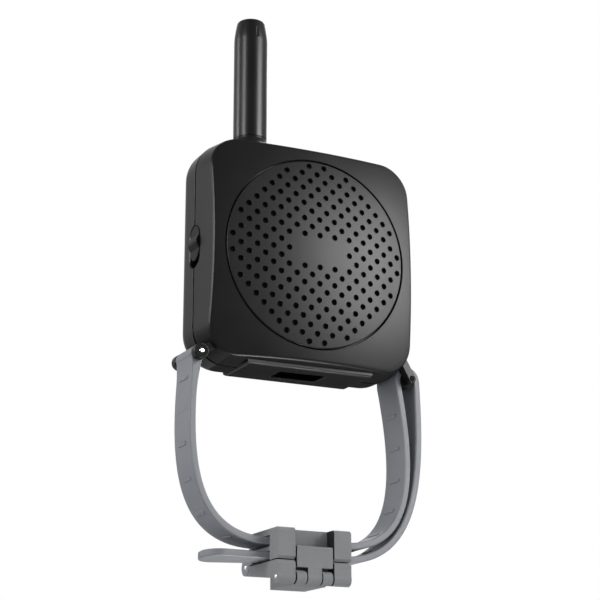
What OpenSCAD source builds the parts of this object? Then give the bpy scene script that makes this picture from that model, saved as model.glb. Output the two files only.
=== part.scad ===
// Strap-on field loudspeaker for an electronic game caller.
// A domed square case with a round grille and a stub antenna sits on a seat pad. A grey silicone strap
// runs from a steel pin at the lower left corner, through a clamping buckle, round a bar at the lower
// right corner and back through the buckle to its free tail.
// Millimetres. Origin at the middle of the seat pad's face, +Z up, the grille looks along -Y.

/* [Case] */
// Width of the case at its seam
case_w = 70.8; // [66:0.2:90]
// Height of the case at its seam
case_h = 71; // [66:0.5:90]
// Depth of the case from the dome's crown to the back
case_d = 28; // [27:0.5:36]
// Radius of the case's corners at the seam
corner_r = 11; // [9:0.5:14]
// Angle at which the walls draw in from the seam towards the front
draft_angle = 8; // [0:0.5:9]
// Radius of the domed front
dome_r = 170; // [130:5:300]
// Wall thickness of both shells
wall = 1.8; // [1.4:0.1:2.2]
// Radius of the rounded back edge
back_edge_r = 7; // [2.5:0.5:8]
// Distance from the dome's crown back to the seam
seam_depth = 14.6; // [14:0.1:16]

/* [Seat pad] */
// Width of the seat pad under the case
pad_w = 42; // [30:1:50]
// Depth of the seat pad
pad_d = 18.5; // [14:0.5:20]
// Height that the pad stands out of the case at the seam
pad_h = 0.4; // [0.3:0.1:1.5]
// Bevel round the pad's face
pad_bevel = 0.6; // [0.4:0.1:1.2]
// Distance from the dome's crown back to the pad's middle
pad_setback = 15.5; // [14.5:0.1:16]
// Width of the recess round the charging socket
port_w = 15; // [12:0.5:20]
// Depth of the recess round the charging socket
port_d = 8; // [6:0.5:9]

/* [Grille] */
// Diameter of the round grille
grille_d = 60; // [50:1:61]
// Thickness of the grille
grille_t = 1.6; // [1.2:0.1:2]
// Gap round the grille's rim
grille_gap = 0.2; // [0.1:0.05:0.3]
// Diameter of a sound hole
hole_d = 1.8; // [1.2:0.1:2.2]
// Distance between neighbouring sound holes
hole_pitch = 3.6; // [3.2:0.1:5]
// Plain rim outside the last hole's middle
hole_margin = 1.5; // [1.2:0.1:4]
// Width of the plain patch in the middle of the grille
bare_w = 18; // [8:1:30]
// Height of the plain patch
bare_h = 8; // [4:0.5:16]

/* [Speaker] */
// Diameter of the speaker's flange
speaker_d = 56; // [46:1:57]
// Depth of the speaker behind its flange
speaker_depth = 14; // [13.5:0.1:14.6]
// Diameter of the ring magnet
magnet_d = 32; // [24:1:34]
// Diameter of the voice coil
coil_d = 16.5; // [14:0.5:18]
// Travel of the cone each way
cone_travel = 0.4; // [0.2:0.1:0.6]

/* [Electronics] */
// Thickness of the circuit board
board_t = 1.2; // [0.8:0.1:1.6]
// Width of the battery pack
battery_w = 34; // [24:1:42]
// Height of the battery pack
battery_h = 50; // [30:1:54]
// Thickness of the battery pack
battery_t = 4; // [3:0.1:4.2]
// Length of the side switch's slot
switch_l = 13.5; // [11:0.5:16]
// Width of the side switch's slot
switch_w = 7; // [5:0.5:8]
// Travel of the switch knob
switch_travel = 2.1; // [1.5:0.1:3]

/* [Antenna] */
// Distance of the antenna's axis from the case's left side
antenna_inset = 18.6; // [16:0.1:34]
// Diameter of the antenna
antenna_d = 10.6; // [9:0.2:13]
// Length of the antenna above its collar
antenna_l = 40.4; // [25:0.2:80]
// Diameter at the tip's shoulder
tip_d = 9; // [6:0.2:9]
// Length of the tapered end
taper_l = 7; // [4:0.5:12]
// Height of the flared collar
collar_h = 3; // [2:0.1:6]
// Diameter of the collar's foot
collar_d = 14; // [13:0.5:16]

/* [Strap lugs] */
// Distance of the strap pin outside the case's side at the seam
lug_out = 0; // [-0.4:0.1:1.5]
// Height of the strap pin above the case's bottom
lug_up = 2; // [1:0.1:2.4]
// Radius of a lug's eye
lug_r = 2.35; // [2:0.05:3]
// Thickness of a lug
lug_t = 3; // [2.5:0.1:3.5]
// Diameter of the steel pins
pin_d = 1.3; // [1:0.1:1.6]
// Diameter of the bar that the strap turns round
bar_d = 4.4; // [3:0.1:4.4]

/* [Strap] */
// Width of the strap
strap_w = 12; // [9:0.2:12]
// Thickness of the strap
strap_t = 2.1; // [1.5:0.1:2.3]
// Drop from the seat pad to the buckle's upper channel
loop_drop = 51.4; // [40:0.2:80]
// Length of the free tail outside the buckle
tail_l = 19.4; // [12:0.2:40]

/* [Buckle] */
// Width of the buckle along the strap
buckle_w = 23.8; // [20:0.2:30]
// Distance of the buckle's front from the seat pad's middle
buckle_reach = 11.5; // [11.3:0.1:13]
// Distance of the hinge pin behind the seat pad's middle
hinge_back = 11.5; // [11.3:0.1:14]
// Width of the latch plate
latch_w = 11.7; // [9:0.1:13]
// Thickness of the latch plate
latch_t = 2; // [1.6:0.1:2.2]
// Overlap of the latch's hook and its ledge
hook_hold = 0.7; // [0.4:0.1:0.8]

/* [Hidden] */
$fn = 96;

// Clearances shared by every fit
over = 1;            // how far a cut runs past the face that it opens
seat_gap = 0.05;     // between faces that seat on each other
slip = 0.3;          // between pieces that move past each other
pin_fit = 0.03;      // radial play of a pressed pin
turn_fit = 0.06;     // radial play of a turning pin

// Places of the case
front_y = -pad_setback;
back_y = front_y + case_d;
seam_y = front_y + seam_depth;
case_z = pad_h + case_h / 2;
case_top = pad_h + case_h;
side_x = case_w / 2;
inner_x = side_x - wall;
draft = tan(draft_angle);

// Places of the speaker, measured back from the flange's front
ledge_w = 0.55;
tube_t = 1.6;
gasket_t = 0.8;
flange_t = 1.2;
flange_w = 1.6;
steel_t = 0.8;
plate_t = 2;
dome_sag = dome_r - sqrt(pow(dome_r, 2) - pow(grille_d / 2, 2));
cloth_t = 0.25;
cloth_r = grille_d / 2 - ledge_w - slip;
cloth_back = grille_t + seat_gap + cloth_t;
seat_t = 1;
seat_front = front_y + dome_r - sqrt(pow(dome_r - cloth_back, 2) - pow(cloth_r, 2)) + seat_gap;
seat_y = seat_front + seat_t;
flange_y = seat_y + gasket_t;
tube_r = max(grille_d, speaker_d + 2 * slip) / 2 + tube_t;
flange_ri = speaker_d / 2 - flange_w;
yoke_back = flange_y + speaker_depth;
yoke_front = yoke_back - plate_t;
magnet_t = 3.2;
magnet_lip = 1;
magnet_front = yoke_front - magnet_t;
gap_front = magnet_front - plate_t;
coil_r = coil_d / 2;
coil_t = 0.5;
coil_gap = 0.5;
cone_t = 0.5;
cone_y = flange_y + cone_t + seat_gap;
cone_h = 4.4;
neck_y = cone_y + cone_h;
roll_w = 2.5;
cone_r = flange_ri - roll_w - slip;
neck_w = 1.5;
spider_t = 0.35;

// Places of the electronics
usb_w = 8.94;
usb_t = 3.26;
usb_l = 7.3;
board_front = usb_t / 2;
board_back = board_front + board_t;
board_edge = 1;
cup_t = 1;
port_floor = pad_h + wall;
foam_t = 0.8;
seal_w = 0.6;
seal_d = 0.8;
boss_r = 2.6;
boss_inset = 9.5;
screw_r = 1;
screw_head_r = 2;
screw_head_t = 1.6;
screw_sink = 0.4;
boss_out = norm([side_x - boss_inset, case_h / 2 - boss_inset]);
boss_sag = dome_r - sqrt(pow(dome_r, 2) - pow(boss_out, 2));
boss_skin = 1.2;
pilot_y = front_y + boss_sag + wall + boss_skin;
switch_up = 0.65;
switch_z = case_z + switch_up;
knob_play = 0.2;
knob_sink = 0.1;
rib_proud = 0.75;
rib_w = 4.4;
rib_crest = 0.9;
knob_lip = 1;
knob_lip_t = 0.9;
knob_l = switch_l - switch_travel - 2 * knob_play;
knob_w = switch_w - 2 * knob_play;
stub_l = 2;
stub_w = 1.6;
stub_reach = 1.3;
switch_body_l = 9;
switch_body_t = 4.4;
switch_body_d = 4;
knob_clear = slip + draft * (knob_w / 2 + knob_lip);
switch_gap = wall + knob_clear + knob_lip_t + slip;
switch_reach = switch_gap + switch_body_d;

// Places of the antenna and its screw connector
antenna_left = side_x - antenna_inset;
connector_r = 3.175;
connector_up = 12;
connector_flange_r = 4.5;
connector_flange_t = 1.5;
collar_sink = 1.2;
tip_round = 0.8;
tip_groove_w = 1.3;
tip_groove_l = 6.7;
tip_groove_deep = 0.6;

// Places of the lugs and the strap
lug_x = side_x + lug_out;
lug_z = pad_h + lug_up;
bar_drop = 0.9;
bar_z = lug_z - bar_drop;
arm_w = 2.8;
arm_l = corner_r;
pin_arm_lean = 150;
bar_arm_lean = 120;
strap_mid = 0.6;
strap_front = strap_mid - strap_w / 2;
strap_back = strap_mid + strap_w / 2;
strap_play = 0.25;
lug_front = strap_front - strap_play;
lug_back = strap_back + strap_play;
turn_play = 0.2;
turn_r = bar_d / 2 + turn_play + strap_t / 2;
spigot_r = pin_d / 2;
eye_r = lug_r - seat_gap;
turn_clear = turn_r + strap_t / 2 + slip;

// Places of the buckle, from the roof over the upper channel down to the thumb lip
slot_play = 0.6;
slot_h = strap_t + 2 * slot_play;
slot_front = strap_front - slip;
slot_w = strap_w + 2 * slip;
roof_t = 1.8;
floor_t = 1.2;
front_wall_t = 1.1;
back_wall_t = 1.7;
upper_z = -loop_drop;
roof_z = upper_z + slot_h / 2 + roof_t;
floor_z = upper_z - slot_h / 2 - floor_t;
lower_z = floor_z - slip - strap_t / 2;
lower_play = 0.4;
frame_z = lower_z - strap_t / 2 - lower_play;
jaw_z = frame_z - slip;
half_w = buckle_w / 2;
recess_y = slot_front - front_wall_t;
latch_play = 0.45;
post_x = latch_w / 2 + latch_play;
knuckle_r = 2.05;
knuckle_proud = 0.15;
latch_y = -buckle_reach + knuckle_r - knuckle_proud;
latch_drop = 4.75;
latch_z = jaw_z - latch_drop;
stem_x = 2.3;
latch_rise = 3.95;
latch_top = frame_z + latch_rise;
nail_gap = 0.75;
latch_arm_z = latch_z + knuckle_r + nail_gap;
hook_h = 1.2;
hook_lift = 0.5;
ledge_reach = 1.5;
ledge_y = recess_y - ledge_reach;
ledge_top = latch_top - hook_h - hook_lift;
ledge_h = 1.7;
hinge_r = 2.6;
hinge_ear = 2.9;
ear_rise = 4;
heel_h = 2.6;
belly_drop = 0.4;
lip_x = latch_w / 2 - knuckle_proud;
lip_back = 7;
lip_h = 2;
lip_t = 1;
lip_edge = 0.4;
tooth_h = 0.45;
tooth_w = 0.9;
tooth_count = 7;
tooth_step = 2.6;
bevel = 0.8;

// A shape drawn in X and Z, carried from y0 back to y1
module prism_y(y0, y1) {
    translate([0, y1, 0]) rotate([90, 0, 0]) linear_extrude(y1 - y0) children();
}

// A shape drawn in Y and Z, carried from x0 to x1
module prism_x(x0, x1) {
    translate([x0, 0, 0]) rotate([90, 0, 90]) linear_extrude(x1 - x0) children();
}

// A shape drawn in X and Y, carried from z0 up to z1
module prism_z(z0, z1) {
    translate([0, 0, z0]) linear_extrude(z1 - z0) children();
}

// A half profile (radius, depth) turned about the speaker's axis
module turned() {
    translate([0, 0, case_z]) rotate([-90, 0, 0]) rotate_extrude() children();
}

// A half profile (radius, height) turned about the antenna's axis
module turned_antenna() {
    translate([-antenna_left, 0, 0]) rotate_extrude() children();
}

module rounded_rect(w, h, r) {
    square([w - 2 * r, h], center = true);
    square([w, h - 2 * r], center = true);
    for (x = [-1, 1], y = [-1, 1])
        translate([x * (w / 2 - r), y * (h / 2 - r)]) circle(r);
}

module stadium(l, w) {
    square([w, l - w], center = true);
    for (end = [-1, 1]) translate([0, end * (l - w) / 2]) circle(w / 2);
}

module ring(r_out, r_in) {
    difference() {
        circle(r_out);
        circle(r_in);
    }
}

// The case's outline, drawn in by an inset
module case_outline(inset) {
    translate([0, case_z]) rounded_rect(case_w - 2 * inset, case_h - 2 * inset, corner_r - inset);
}

// The ball whose cap is the domed front, drawn in by an inset
module dome(inset) {
    translate([0, front_y + dome_r, case_z]) sphere(dome_r - inset, $fn = 240);
}

// The front half of the case as a block whose walls draw in towards the front, drawn in by an inset
module front_block(inset) {
    hull() {
        prism_y(front_y - over, front_y) case_outline(inset + draft * seam_depth, $fn = 48);
        prism_y(seam_y, seam_y + over) case_outline(inset, $fn = 48);
    }
}

// The back half of the case as a block with a rounded back edge, drawn in by an inset
module back_block(inset, from_y) {
    edge = back_edge_r - inset;
    r = corner_r - inset;
    flat_y = back_y - inset - edge;
    hull() {
        prism_y(from_y, flat_y) case_outline(inset, $fn = 48);
        for (x = [-1, 1], z = [-1, 1])
            translate([x * (side_x - corner_r), flat_y, case_z + z * (case_h / 2 - corner_r)])
                rotate([90, 0, 0]) rotate_extrude($fn = 48) intersection() {
                    translate([r - edge, 0]) circle(edge, $fn = 32);
                    translate([0, -edge]) square([r, edge]);
                }
    }
}

// The two lugs of one shell, from y0 to y1, before the case is hollowed out
module lug_arms(y0, y1) {
    prism_y(y0, y1) {
        translate([-lug_x, lug_z]) circle(lug_r);
        lug_arm(-lug_x, lug_z, 180 - pin_arm_lean);
        lug_arm(lug_x, bar_z, bar_arm_lean);
    }
}

// One arm with a round end, which leans back into the case's corner
module lug_arm(x, z, lean) {
    translate([x, z]) {
        circle(arm_w / 2);
        rotate(lean) translate([0, -arm_w / 2]) square([arm_l, arm_w]);
    }
}

// Hollow in the lower right corner that clears the strap on its way round the bar
module strap_relief() {
    prism_y(lug_front, lug_back) translate([lug_x, bar_z]) circle(turn_clear);
}

// Everything that opens the case's walls: switch, antenna with the flat under its flange, and port
module wall_openings() {
    prism_x(-side_x - over, -inner_x + over) translate([seam_y, switch_z]) stadium(switch_l, switch_w);
    translate([-antenna_left, 0, case_top - wall - over])
        cylinder(wall + 2 * over, r = connector_r + turn_fit);
    translate([-antenna_left, 0, case_top - wall - connector_flange_t])
        cylinder(connector_flange_t, r = connector_flange_r + seat_gap);
    prism_z(pad_h - over, port_floor + over)
        square([port_w + 2 * cup_t + 2 * seat_gap, port_d + 2 * cup_t + 2 * seat_gap], center = true);
}

// The groove for the seal, half in each shell
module seal_ring(play) {
    half_d = seal_d / 2 + play;
    half_w = seal_w / 2 + play;
    prism_y(seam_y - half_d, seam_y + half_d) difference() {
        case_outline(wall / 2 - half_w);
        case_outline(wall / 2 + half_w);
    }
}

module boss_places() {
    for (x = [-1, 1], z = [-1, 1])
        translate([x * (side_x - boss_inset), 0, case_z + z * (case_h / 2 - boss_inset)]) children();
}

module front_shell() {
    color([0.13, 0.13, 0.14]) difference() {
        union() {
            difference() {
                union() {
                    intersection() {
                        prism_y(front_y, seam_y) translate([0, case_z])
                            square([case_w + 2 * over, case_h + 2 * over], center = true);
                        front_block(0);
                        dome(0);
                    }
                    lug_arms(lug_front - lug_t, lug_front);
                }
                intersection() {
                    front_block(wall);
                    dome(wall);
                }
            }
            speaker_seat();
            intersection() {
                boss_places() prism_y(front_y, board_front) circle(boss_r);
                dome(wall / 2);
            }
        }
        grille_recess();
        boss_places() prism_y(pilot_y, board_front + over) circle(screw_r + seat_gap);
        wall_openings();
        seal_ring(seat_gap);
        prism_y(lug_front - lug_t - over, lug_back + lug_t + over)
            translate([-lug_x, lug_z]) circle(pin_d / 2 + pin_fit);
        strap_relief();
        prism_y(lug_front - lug_t - over, lug_front + over)
            translate([lug_x, bar_z]) circle(spigot_r + pin_fit);
    }
}

// The space that the grille and its cloth fill, down to the speaker seat
module grille_recess() {
    turned() translate([0, front_y - over]) square([grille_d / 2 - ledge_w, seat_front - front_y + over]);
    difference() {
        turned() translate([0, front_y - over]) square([grille_d / 2 + grille_gap, case_d]);
        dome(grille_t + seat_gap);
    }
}

// The ring inside the front shell that the speaker's flange seats in
module speaker_seat() {
    intersection() {
        turned() polygon([
            [flange_ri, seat_front], [flange_ri, seat_y],
            [speaker_d / 2 + slip, seat_y], [speaker_d / 2 + slip, flange_y + flange_t],
            [tube_r, flange_y + flange_t], [tube_r, front_y], [flange_ri, front_y]]);
        dome(wall / 2);
        front_block(wall / 2);
    }
}

module rear_shell() {
    color([0.13, 0.13, 0.14]) difference() {
        union() {
            difference() {
                union() {
                    back_block(0, seam_y);
                    lug_arms(lug_back, lug_back + lug_t);
                }
                back_block(wall, seam_y - over);
            }
            boss_places() prism_y(board_back, back_y - wall / 2) circle(boss_r);
        }
        boss_places() prism_y(board_back - over, back_y + over) circle(screw_r + seat_gap);
        boss_places() prism_y(back_y - screw_sink - screw_head_t, back_y + over)
            circle(screw_head_r + seat_gap);
        wall_openings();
        seal_ring(seat_gap);
        prism_y(lug_front - lug_t - over, lug_back + lug_t + over)
            translate([-lug_x, lug_z]) circle(pin_d / 2 + pin_fit);
        strap_relief();
        prism_y(lug_back - over, lug_back + lug_t + over)
            translate([lug_x, bar_z]) circle(spigot_r + pin_fit);
    }
}

module shell_seal() {
    color([0.05, 0.05, 0.05]) difference() {
        seal_ring(0);
        wall_openings();
        strap_relief();
    }
}

// Seat pad, fitted to the case's bottom, with the cup that frames the charging socket
module base_pad() {
    top = pad_h + draft * seam_depth + over;
    color([0.11, 0.11, 0.12]) difference() {
        union() {
            difference() {
                intersection() {
                    prism_y(-pad_d / 2, pad_d / 2) polygon([
                        [-pad_w / 2, top], [-pad_w / 2, pad_bevel], [-pad_w / 2 + pad_bevel, 0],
                        [pad_w / 2 - pad_bevel, 0], [pad_w / 2, pad_bevel], [pad_w / 2, top]]);
                    prism_x(-pad_w / 2, pad_w / 2) polygon([
                        [-pad_d / 2, top], [-pad_d / 2, pad_bevel], [-pad_d / 2 + pad_bevel, 0],
                        [pad_d / 2 - pad_bevel, 0], [pad_d / 2, pad_bevel], [pad_d / 2, top]]);
                }
                front_block(0);
                back_block(0, seam_y);
            }
            prism_z(pad_h / 2, port_floor + cup_t)
                square([port_w + 2 * cup_t, port_d + 2 * cup_t], center = true);
        }
        prism_z(-over, port_floor) square([port_w, port_d], center = true);
        prism_z(0, port_floor + cup_t + over) rotate(90) stadium(usb_w + 2 * seat_gap, usb_t + 2 * seat_gap);
    }
}

// Places of the sound holes: a square lattice turned by an eighth, with the middle left plain
hole_step = hole_pitch / sqrt(2);
hole_reach = grille_d / 2 - hole_margin;
hole_count = ceil(hole_reach / hole_step);
hole_places = [
    for (i = [-hole_count : hole_count], j = [-hole_count : hole_count])
        let (x = i * hole_step, z = j * hole_step)
        if ((i + j) % 2 == 0 && norm([x, z]) <= hole_reach && (abs(x) > bare_w / 2 || abs(z) > bare_h / 2))
            [x, z]];

module grille_plate() {
    color([0.14, 0.14, 0.15]) difference() {
        intersection() {
            prism_y(front_y, front_y + dome_sag + grille_t) translate([0, case_z]) difference() {
                circle(grille_d / 2 - grille_gap);
                for (p = hole_places) translate(p) circle(hole_d / 2, $fn = 24);
            }
            dome(0);
        }
        dome(grille_t);
    }
}

module dust_mesh() {
    color([0.03, 0.03, 0.03]) difference() {
        intersection() {
            turned() translate([0, front_y]) square([cloth_r, dome_sag + 2 * grille_t]);
            dome(grille_t + seat_gap);
        }
        dome(cloth_back);
    }
}

module speaker_gasket() {
    color([0.08, 0.08, 0.08]) turned() translate([flange_ri, seat_y]) square([flange_w, gasket_t]);
}

// Pressed steel basket: flange, windowed cone and the ring that carries the magnet
module speaker_frame() {
    ring_r = magnet_d / 2 + flange_w;
    basket_windows = 6;
    window = [6, 2.6, 9];
    color([0.25, 0.25, 0.27]) difference() {
        turned() polygon([
            [flange_ri, flange_y], [speaker_d / 2, flange_y], [speaker_d / 2, flange_y + flange_t],
            [flange_ri + steel_t, flange_y + flange_t], [ring_r + steel_t, gap_front],
            [coil_r + coil_t + coil_gap, gap_front], [coil_r + coil_t + coil_gap, gap_front - steel_t],
            [ring_r, gap_front - steel_t], [flange_ri, flange_y + flange_t / 2]]);
        for (k = [0 : basket_windows - 1])
            translate([0, 0, case_z]) rotate([0, k * 360 / basket_windows, 0])
                translate([ring_r + 2 * steel_t, flange_y + flange_t + steel_t, -window.z / 2]) cube(window);
    }
}

module speaker_surround() {
    roll_ri = cone_r + slip;
    roll_r = (flange_ri - roll_ri) / 2;
    color([0.06, 0.06, 0.06]) turned() translate([roll_ri + roll_r, flange_y]) difference() {
        circle(roll_r, $fn = 48);
        circle(roll_r - cone_t, $fn = 48);
        translate([-flange_ri, 0]) square([2 * flange_ri, flange_ri]);
    }
}

module speaker_spider() {
    color([0.6, 0.5, 0.3]) turned()
        translate([coil_r + coil_gap + coil_t, gap_front - steel_t - seat_gap - spider_t])
            square([magnet_d / 2 - coil_r - coil_gap, spider_t]);
}

module speaker_cone() {
    color([0.10, 0.10, 0.10]) turned() polygon([
        [cone_r, cone_y], [cone_r, cone_y + cone_t], [coil_r, neck_y], [coil_r - neck_w, neck_y],
        [coil_r - neck_w, neck_y - cone_t], [coil_r - cone_t / 2, neck_y - cone_t]]);
}

module dust_cap() {
    cap_r = coil_r - neck_w / 2;
    cap_rise = 3;
    ball_r = (pow(cap_r, 2) + pow(cap_rise, 2)) / (2 * cap_rise);
    color([0.09, 0.09, 0.09]) turned() translate([0, neck_y - cone_t + ball_r - cap_rise]) intersection() {
        ring(ball_r, ball_r - cone_t);
        translate([0, -2 * ball_r]) square([cap_r, ball_r + cap_rise]);
    }
}

module voice_coil() {
    color([0.7, 0.4, 0.2]) turned() translate([coil_r - coil_t, neck_y])
        square([coil_t, yoke_front - plate_t - cone_travel - neck_y]);
}

module magnet_front_plate() {
    color([0.6, 0.6, 0.62]) turned() translate([coil_r + coil_gap, gap_front])
        square([magnet_d / 2 - magnet_lip - coil_r - coil_gap, plate_t]);
}

module speaker_magnet() {
    bore_r = coil_r + 4 * coil_gap;
    color([0.2, 0.2, 0.2]) turned() translate([bore_r, magnet_front])
        square([magnet_d / 2 - bore_r, magnet_t]);
}

// Back plate and centre pole in one piece
module magnet_yoke() {
    pole_r = coil_r - coil_t - coil_gap;
    color([0.6, 0.6, 0.62]) turned() polygon([
        [0, gap_front], [pole_r, gap_front], [pole_r, yoke_front], [magnet_d / 2 - magnet_lip, yoke_front],
        [magnet_d / 2 - magnet_lip, yoke_back], [0, yoke_back]]);
}

module circuit_board() {
    color([0.05, 0.25, 0.12]) difference() {
        prism_y(board_front, board_back) difference() {
            case_outline(wall + board_edge);
            translate([0, case_z]) circle(magnet_d / 2 + 2 * slip);
            translate([-side_x, switch_z])
                square([2 * switch_reach, switch_body_l + 2 * seat_gap], center = true);
            translate([-side_x, switch_z])
                square([2 * switch_gap, switch_l + 2 * (knob_lip + slip)], center = true);
            translate([0, pad_h])
                square([port_w + 2 * (cup_t + slip), 2 * (wall + cup_t + slip)], center = true);
            translate([-antenna_left, case_top - wall])
                square([2 * (connector_flange_r + slip), 2 * (connector_flange_t + slip)], center = true);
        }
        boss_places() prism_y(board_front - over, board_back + over) circle(screw_r + seat_gap);
    }
}

module usb_socket() {
    shell_t = 0.3;
    tongue_t = 0.7;
    tongue_w = 6.7;
    tongue_in = 1;
    block_l = 1.5;
    back_z = port_floor + usb_l;
    color([0.75, 0.75, 0.77]) prism_z(port_floor, back_z) rotate(90) difference() {
        stadium(usb_w, usb_t);
        stadium(usb_w - 2 * shell_t, usb_t - 2 * shell_t);
    }
    color([0.1, 0.1, 0.1]) union() {
        prism_z(port_floor + tongue_in, back_z) square([tongue_w, tongue_t], center = true);
        prism_z(back_z - block_l, back_z) rotate(90) stadium(usb_w, usb_t);
    }
}

// Switch in a notch of the board, with a groove that the knob's stub runs in
module slide_switch() {
    front = seam_y - switch_body_t / 2;
    color([0.2, 0.2, 0.2]) difference() {
        prism_x(-side_x + switch_gap, -side_x + switch_reach)
            translate([front, switch_z - switch_body_l / 2]) square([board_back + slip - front, switch_body_l]);
        prism_x(-side_x, -side_x + switch_gap + stub_reach)
            translate([seam_y, switch_z])
                square([stub_w + 2 * slip, stub_l + switch_travel + 2 * slip], center = true);
    }
}

// Thumb knob with a raised cross rib between two flush lobes, held behind the wall by its lip
module switch_knob() {
    lobe_x = -side_x + knob_sink;
    crest_x = -side_x - rib_proud;
    foot_x = -inner_x + knob_clear;
    color([0.10, 0.10, 0.11]) translate([0, seam_y, switch_z + switch_travel / 2]) {
        intersection() {
            prism_x(crest_x, foot_x) stadium(knob_l, knob_w);
            prism_y(-knob_w / 2, knob_w / 2) polygon([
                [foot_x, -knob_l / 2], [lobe_x, -knob_l / 2], [lobe_x, -rib_w / 2], [crest_x, -rib_crest / 2],
                [crest_x, rib_crest / 2], [lobe_x, rib_w / 2], [lobe_x, knob_l / 2], [foot_x, knob_l / 2]]);
        }
        prism_x(foot_x, foot_x + knob_lip_t) stadium(knob_l + 2 * knob_lip, knob_w + 2 * knob_lip);
        prism_x(foot_x + knob_lip_t / 2, -side_x + switch_gap + stub_reach - slip)
            square([stub_w, stub_l], center = true);
    }
}

module battery_pad() {
    pad_side = magnet_d / sqrt(2);
    color([0.3, 0.3, 0.3]) prism_y(yoke_back, yoke_back + foam_t)
        translate([0, case_z]) square([min(battery_w, pad_side), min(battery_h, pad_side)], center = true);
}

module battery_pack() {
    color([0.7, 0.72, 0.75]) prism_y(yoke_back + foam_t, yoke_back + foam_t + battery_t)
        translate([0, case_z]) rounded_rect(battery_w, battery_h, battery_t / 2);
}

module antenna_connector() {
    tail_r = 0.65;
    wall_z = case_top - wall;
    tail_z = wall_z - 4;
    color([0.85, 0.7, 0.35]) turned_antenna() polygon([
        [0, tail_z], [tail_r, tail_z], [tail_r, wall_z - connector_flange_t],
        [connector_flange_r, wall_z - connector_flange_t], [connector_flange_r, wall_z],
        [connector_r, wall_z], [connector_r, case_top + connector_up], [0, case_top + connector_up]]);
}

// Flared collar between the case's top and the antenna's foot, fitted to the top's slope
module antenna_collar() {
    rim = 0.6;
    foot_r = collar_d / 2;
    neck_r = antenna_d / 2;
    sweep_w = foot_r - neck_r;
    sweep_h = collar_h - 2 * rim;
    arc_steps = 8;
    sweep = [
        for (k = [0 : arc_steps])
            let (a = 90 * k / arc_steps)
            [foot_r - sweep_w * sin(a), case_top + rim + sweep_h * (1 - cos(a))]];
    hole_r = connector_r + turn_fit;
    color([0.12, 0.12, 0.13]) difference() {
        turned_antenna() polygon(concat(
            [[hole_r, case_top - collar_sink], [foot_r, case_top - collar_sink]], sweep,
            [[neck_r, case_top + collar_h], [hole_r, case_top + collar_h]]));
        front_block(0);
        back_block(0, seam_y);
    }
}

module antenna() {
    foot_z = case_top + collar_h + seat_gap;
    tip_z = foot_z + antenna_l;
    shoulder_z = tip_z - tip_round;
    bore_r = connector_r + turn_fit;
    bore_z = case_top + connector_up + slip;
    color([0.10, 0.10, 0.11]) difference() {
        turned_antenna() polygon([
            [bore_r, foot_z], [antenna_d / 2, foot_z], [antenna_d / 2, shoulder_z - taper_l],
            [tip_d / 2, shoulder_z], [tip_d / 2 - tip_round, tip_z], [0, tip_z],
            [0, bore_z], [bore_r, bore_z]]);
        translate([-antenna_left, -antenna_d / 2 - over, tip_z - tip_groove_l]) rotate([-90, 0, 0])
            cylinder(over + antenna_d / 2 - tip_d / 2 + tip_groove_deep, r = tip_groove_w / 2);
        translate([-antenna_left - tip_groove_w / 2, -antenna_d / 2 - over, tip_z - tip_groove_l])
            cube([tip_groove_w, over + antenna_d / 2 - tip_d / 2 + tip_groove_deep, tip_groove_l + over]);
    }
}

// Four cross-head screws that close the case from the back
module case_screws() {
    head_y = back_y - screw_sink - screw_head_t;
    cross_l = 2.6;
    cross_w = 0.5;
    color([0.5, 0.5, 0.52]) boss_places() difference() {
        union() {
            prism_y(head_y, head_y + screw_head_t) circle(screw_head_r);
            prism_y(pilot_y + over, head_y) circle(screw_r);
        }
        for (turn = [0, 90])
            prism_y(head_y + screw_head_t / 2, back_y) rotate(turn)
                square([cross_w, cross_l], center = true);
    }
}

module strap_pin() {
    color([0.8, 0.8, 0.82]) prism_y(lug_front - lug_t, lug_back + lug_t)
        translate([-lug_x, lug_z]) circle(pin_d / 2);
}

// Bar that the strap turns round, its thin spigots held in the right lugs
module strap_bar() {
    color([0.12, 0.12, 0.13]) {
        prism_y(lug_front + seat_gap, lug_back - seat_gap) translate([lug_x, bar_z]) circle(bar_d / 2);
        prism_y(lug_front - lug_t, lug_back + lug_t) translate([lug_x, bar_z]) circle(spigot_r);
    }
}

// Points of a cubic curve through its four handles, without the last one
function curve(h, steps) = [
    for (k = [0 : steps - 1])
        let (t = k / steps, u = 1 - t)
        pow(u, 3) * h[0] + 3 * pow(u, 2) * t * h[1] + 3 * u * pow(t, 2) * h[2] + pow(t, 3) * h[3]];

// Handles of the strap's runs: how far each bows out of its lug, and how far down the bow sits
left_start = [-lug_x - 0.4, lug_z - 0.6];
left_high = [-lug_x - 2.8, upper_z * 0.55];
left_low = [-lug_x - 1.4, upper_z + 0.1];
inner_low = [lug_x + 2.7, upper_z - 1.9];
inner_high = [lug_x + 1.7, upper_z * 0.47];
outer_high = [lug_x + 4.8, upper_z * 0.47];
outer_low = [lug_x + 5.2, lower_z - 1.2];
tail_dip = 0.3;

// The strap's middle line from the left eye to the tail's tip
run_steps = 16;
turn_steps = 14;
tip_x = -half_w - tail_l;
strap_line = concat(
    curve([left_start, left_high, left_low, [-half_w, upper_z]], run_steps),
    [[-half_w, upper_z]],
    curve([[half_w, upper_z], inner_low, inner_high, [lug_x - turn_r, bar_z]], run_steps),
    [for (k = [0 : turn_steps - 1])
        let (a = 180 - 180 * k / turn_steps)
        [lug_x + turn_r * cos(a), bar_z + turn_r * sin(a)]],
    curve([[lug_x + turn_r, bar_z], outer_high, outer_low, [half_w, lower_z]], run_steps),
    [[half_w, lower_z], [-half_w, lower_z], [tip_x, lower_z - tail_dip]]);

// Points half a thickness to one side of a line
function beside(line, d) = [
    for (k = [0 : len(line) - 1])
        let (a = line[max(k - 1, 0)], b = line[min(k + 1, len(line) - 1)], n = (b - a) / norm(b - a))
        line[k] + d * [-n.y, n.x]];

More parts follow.
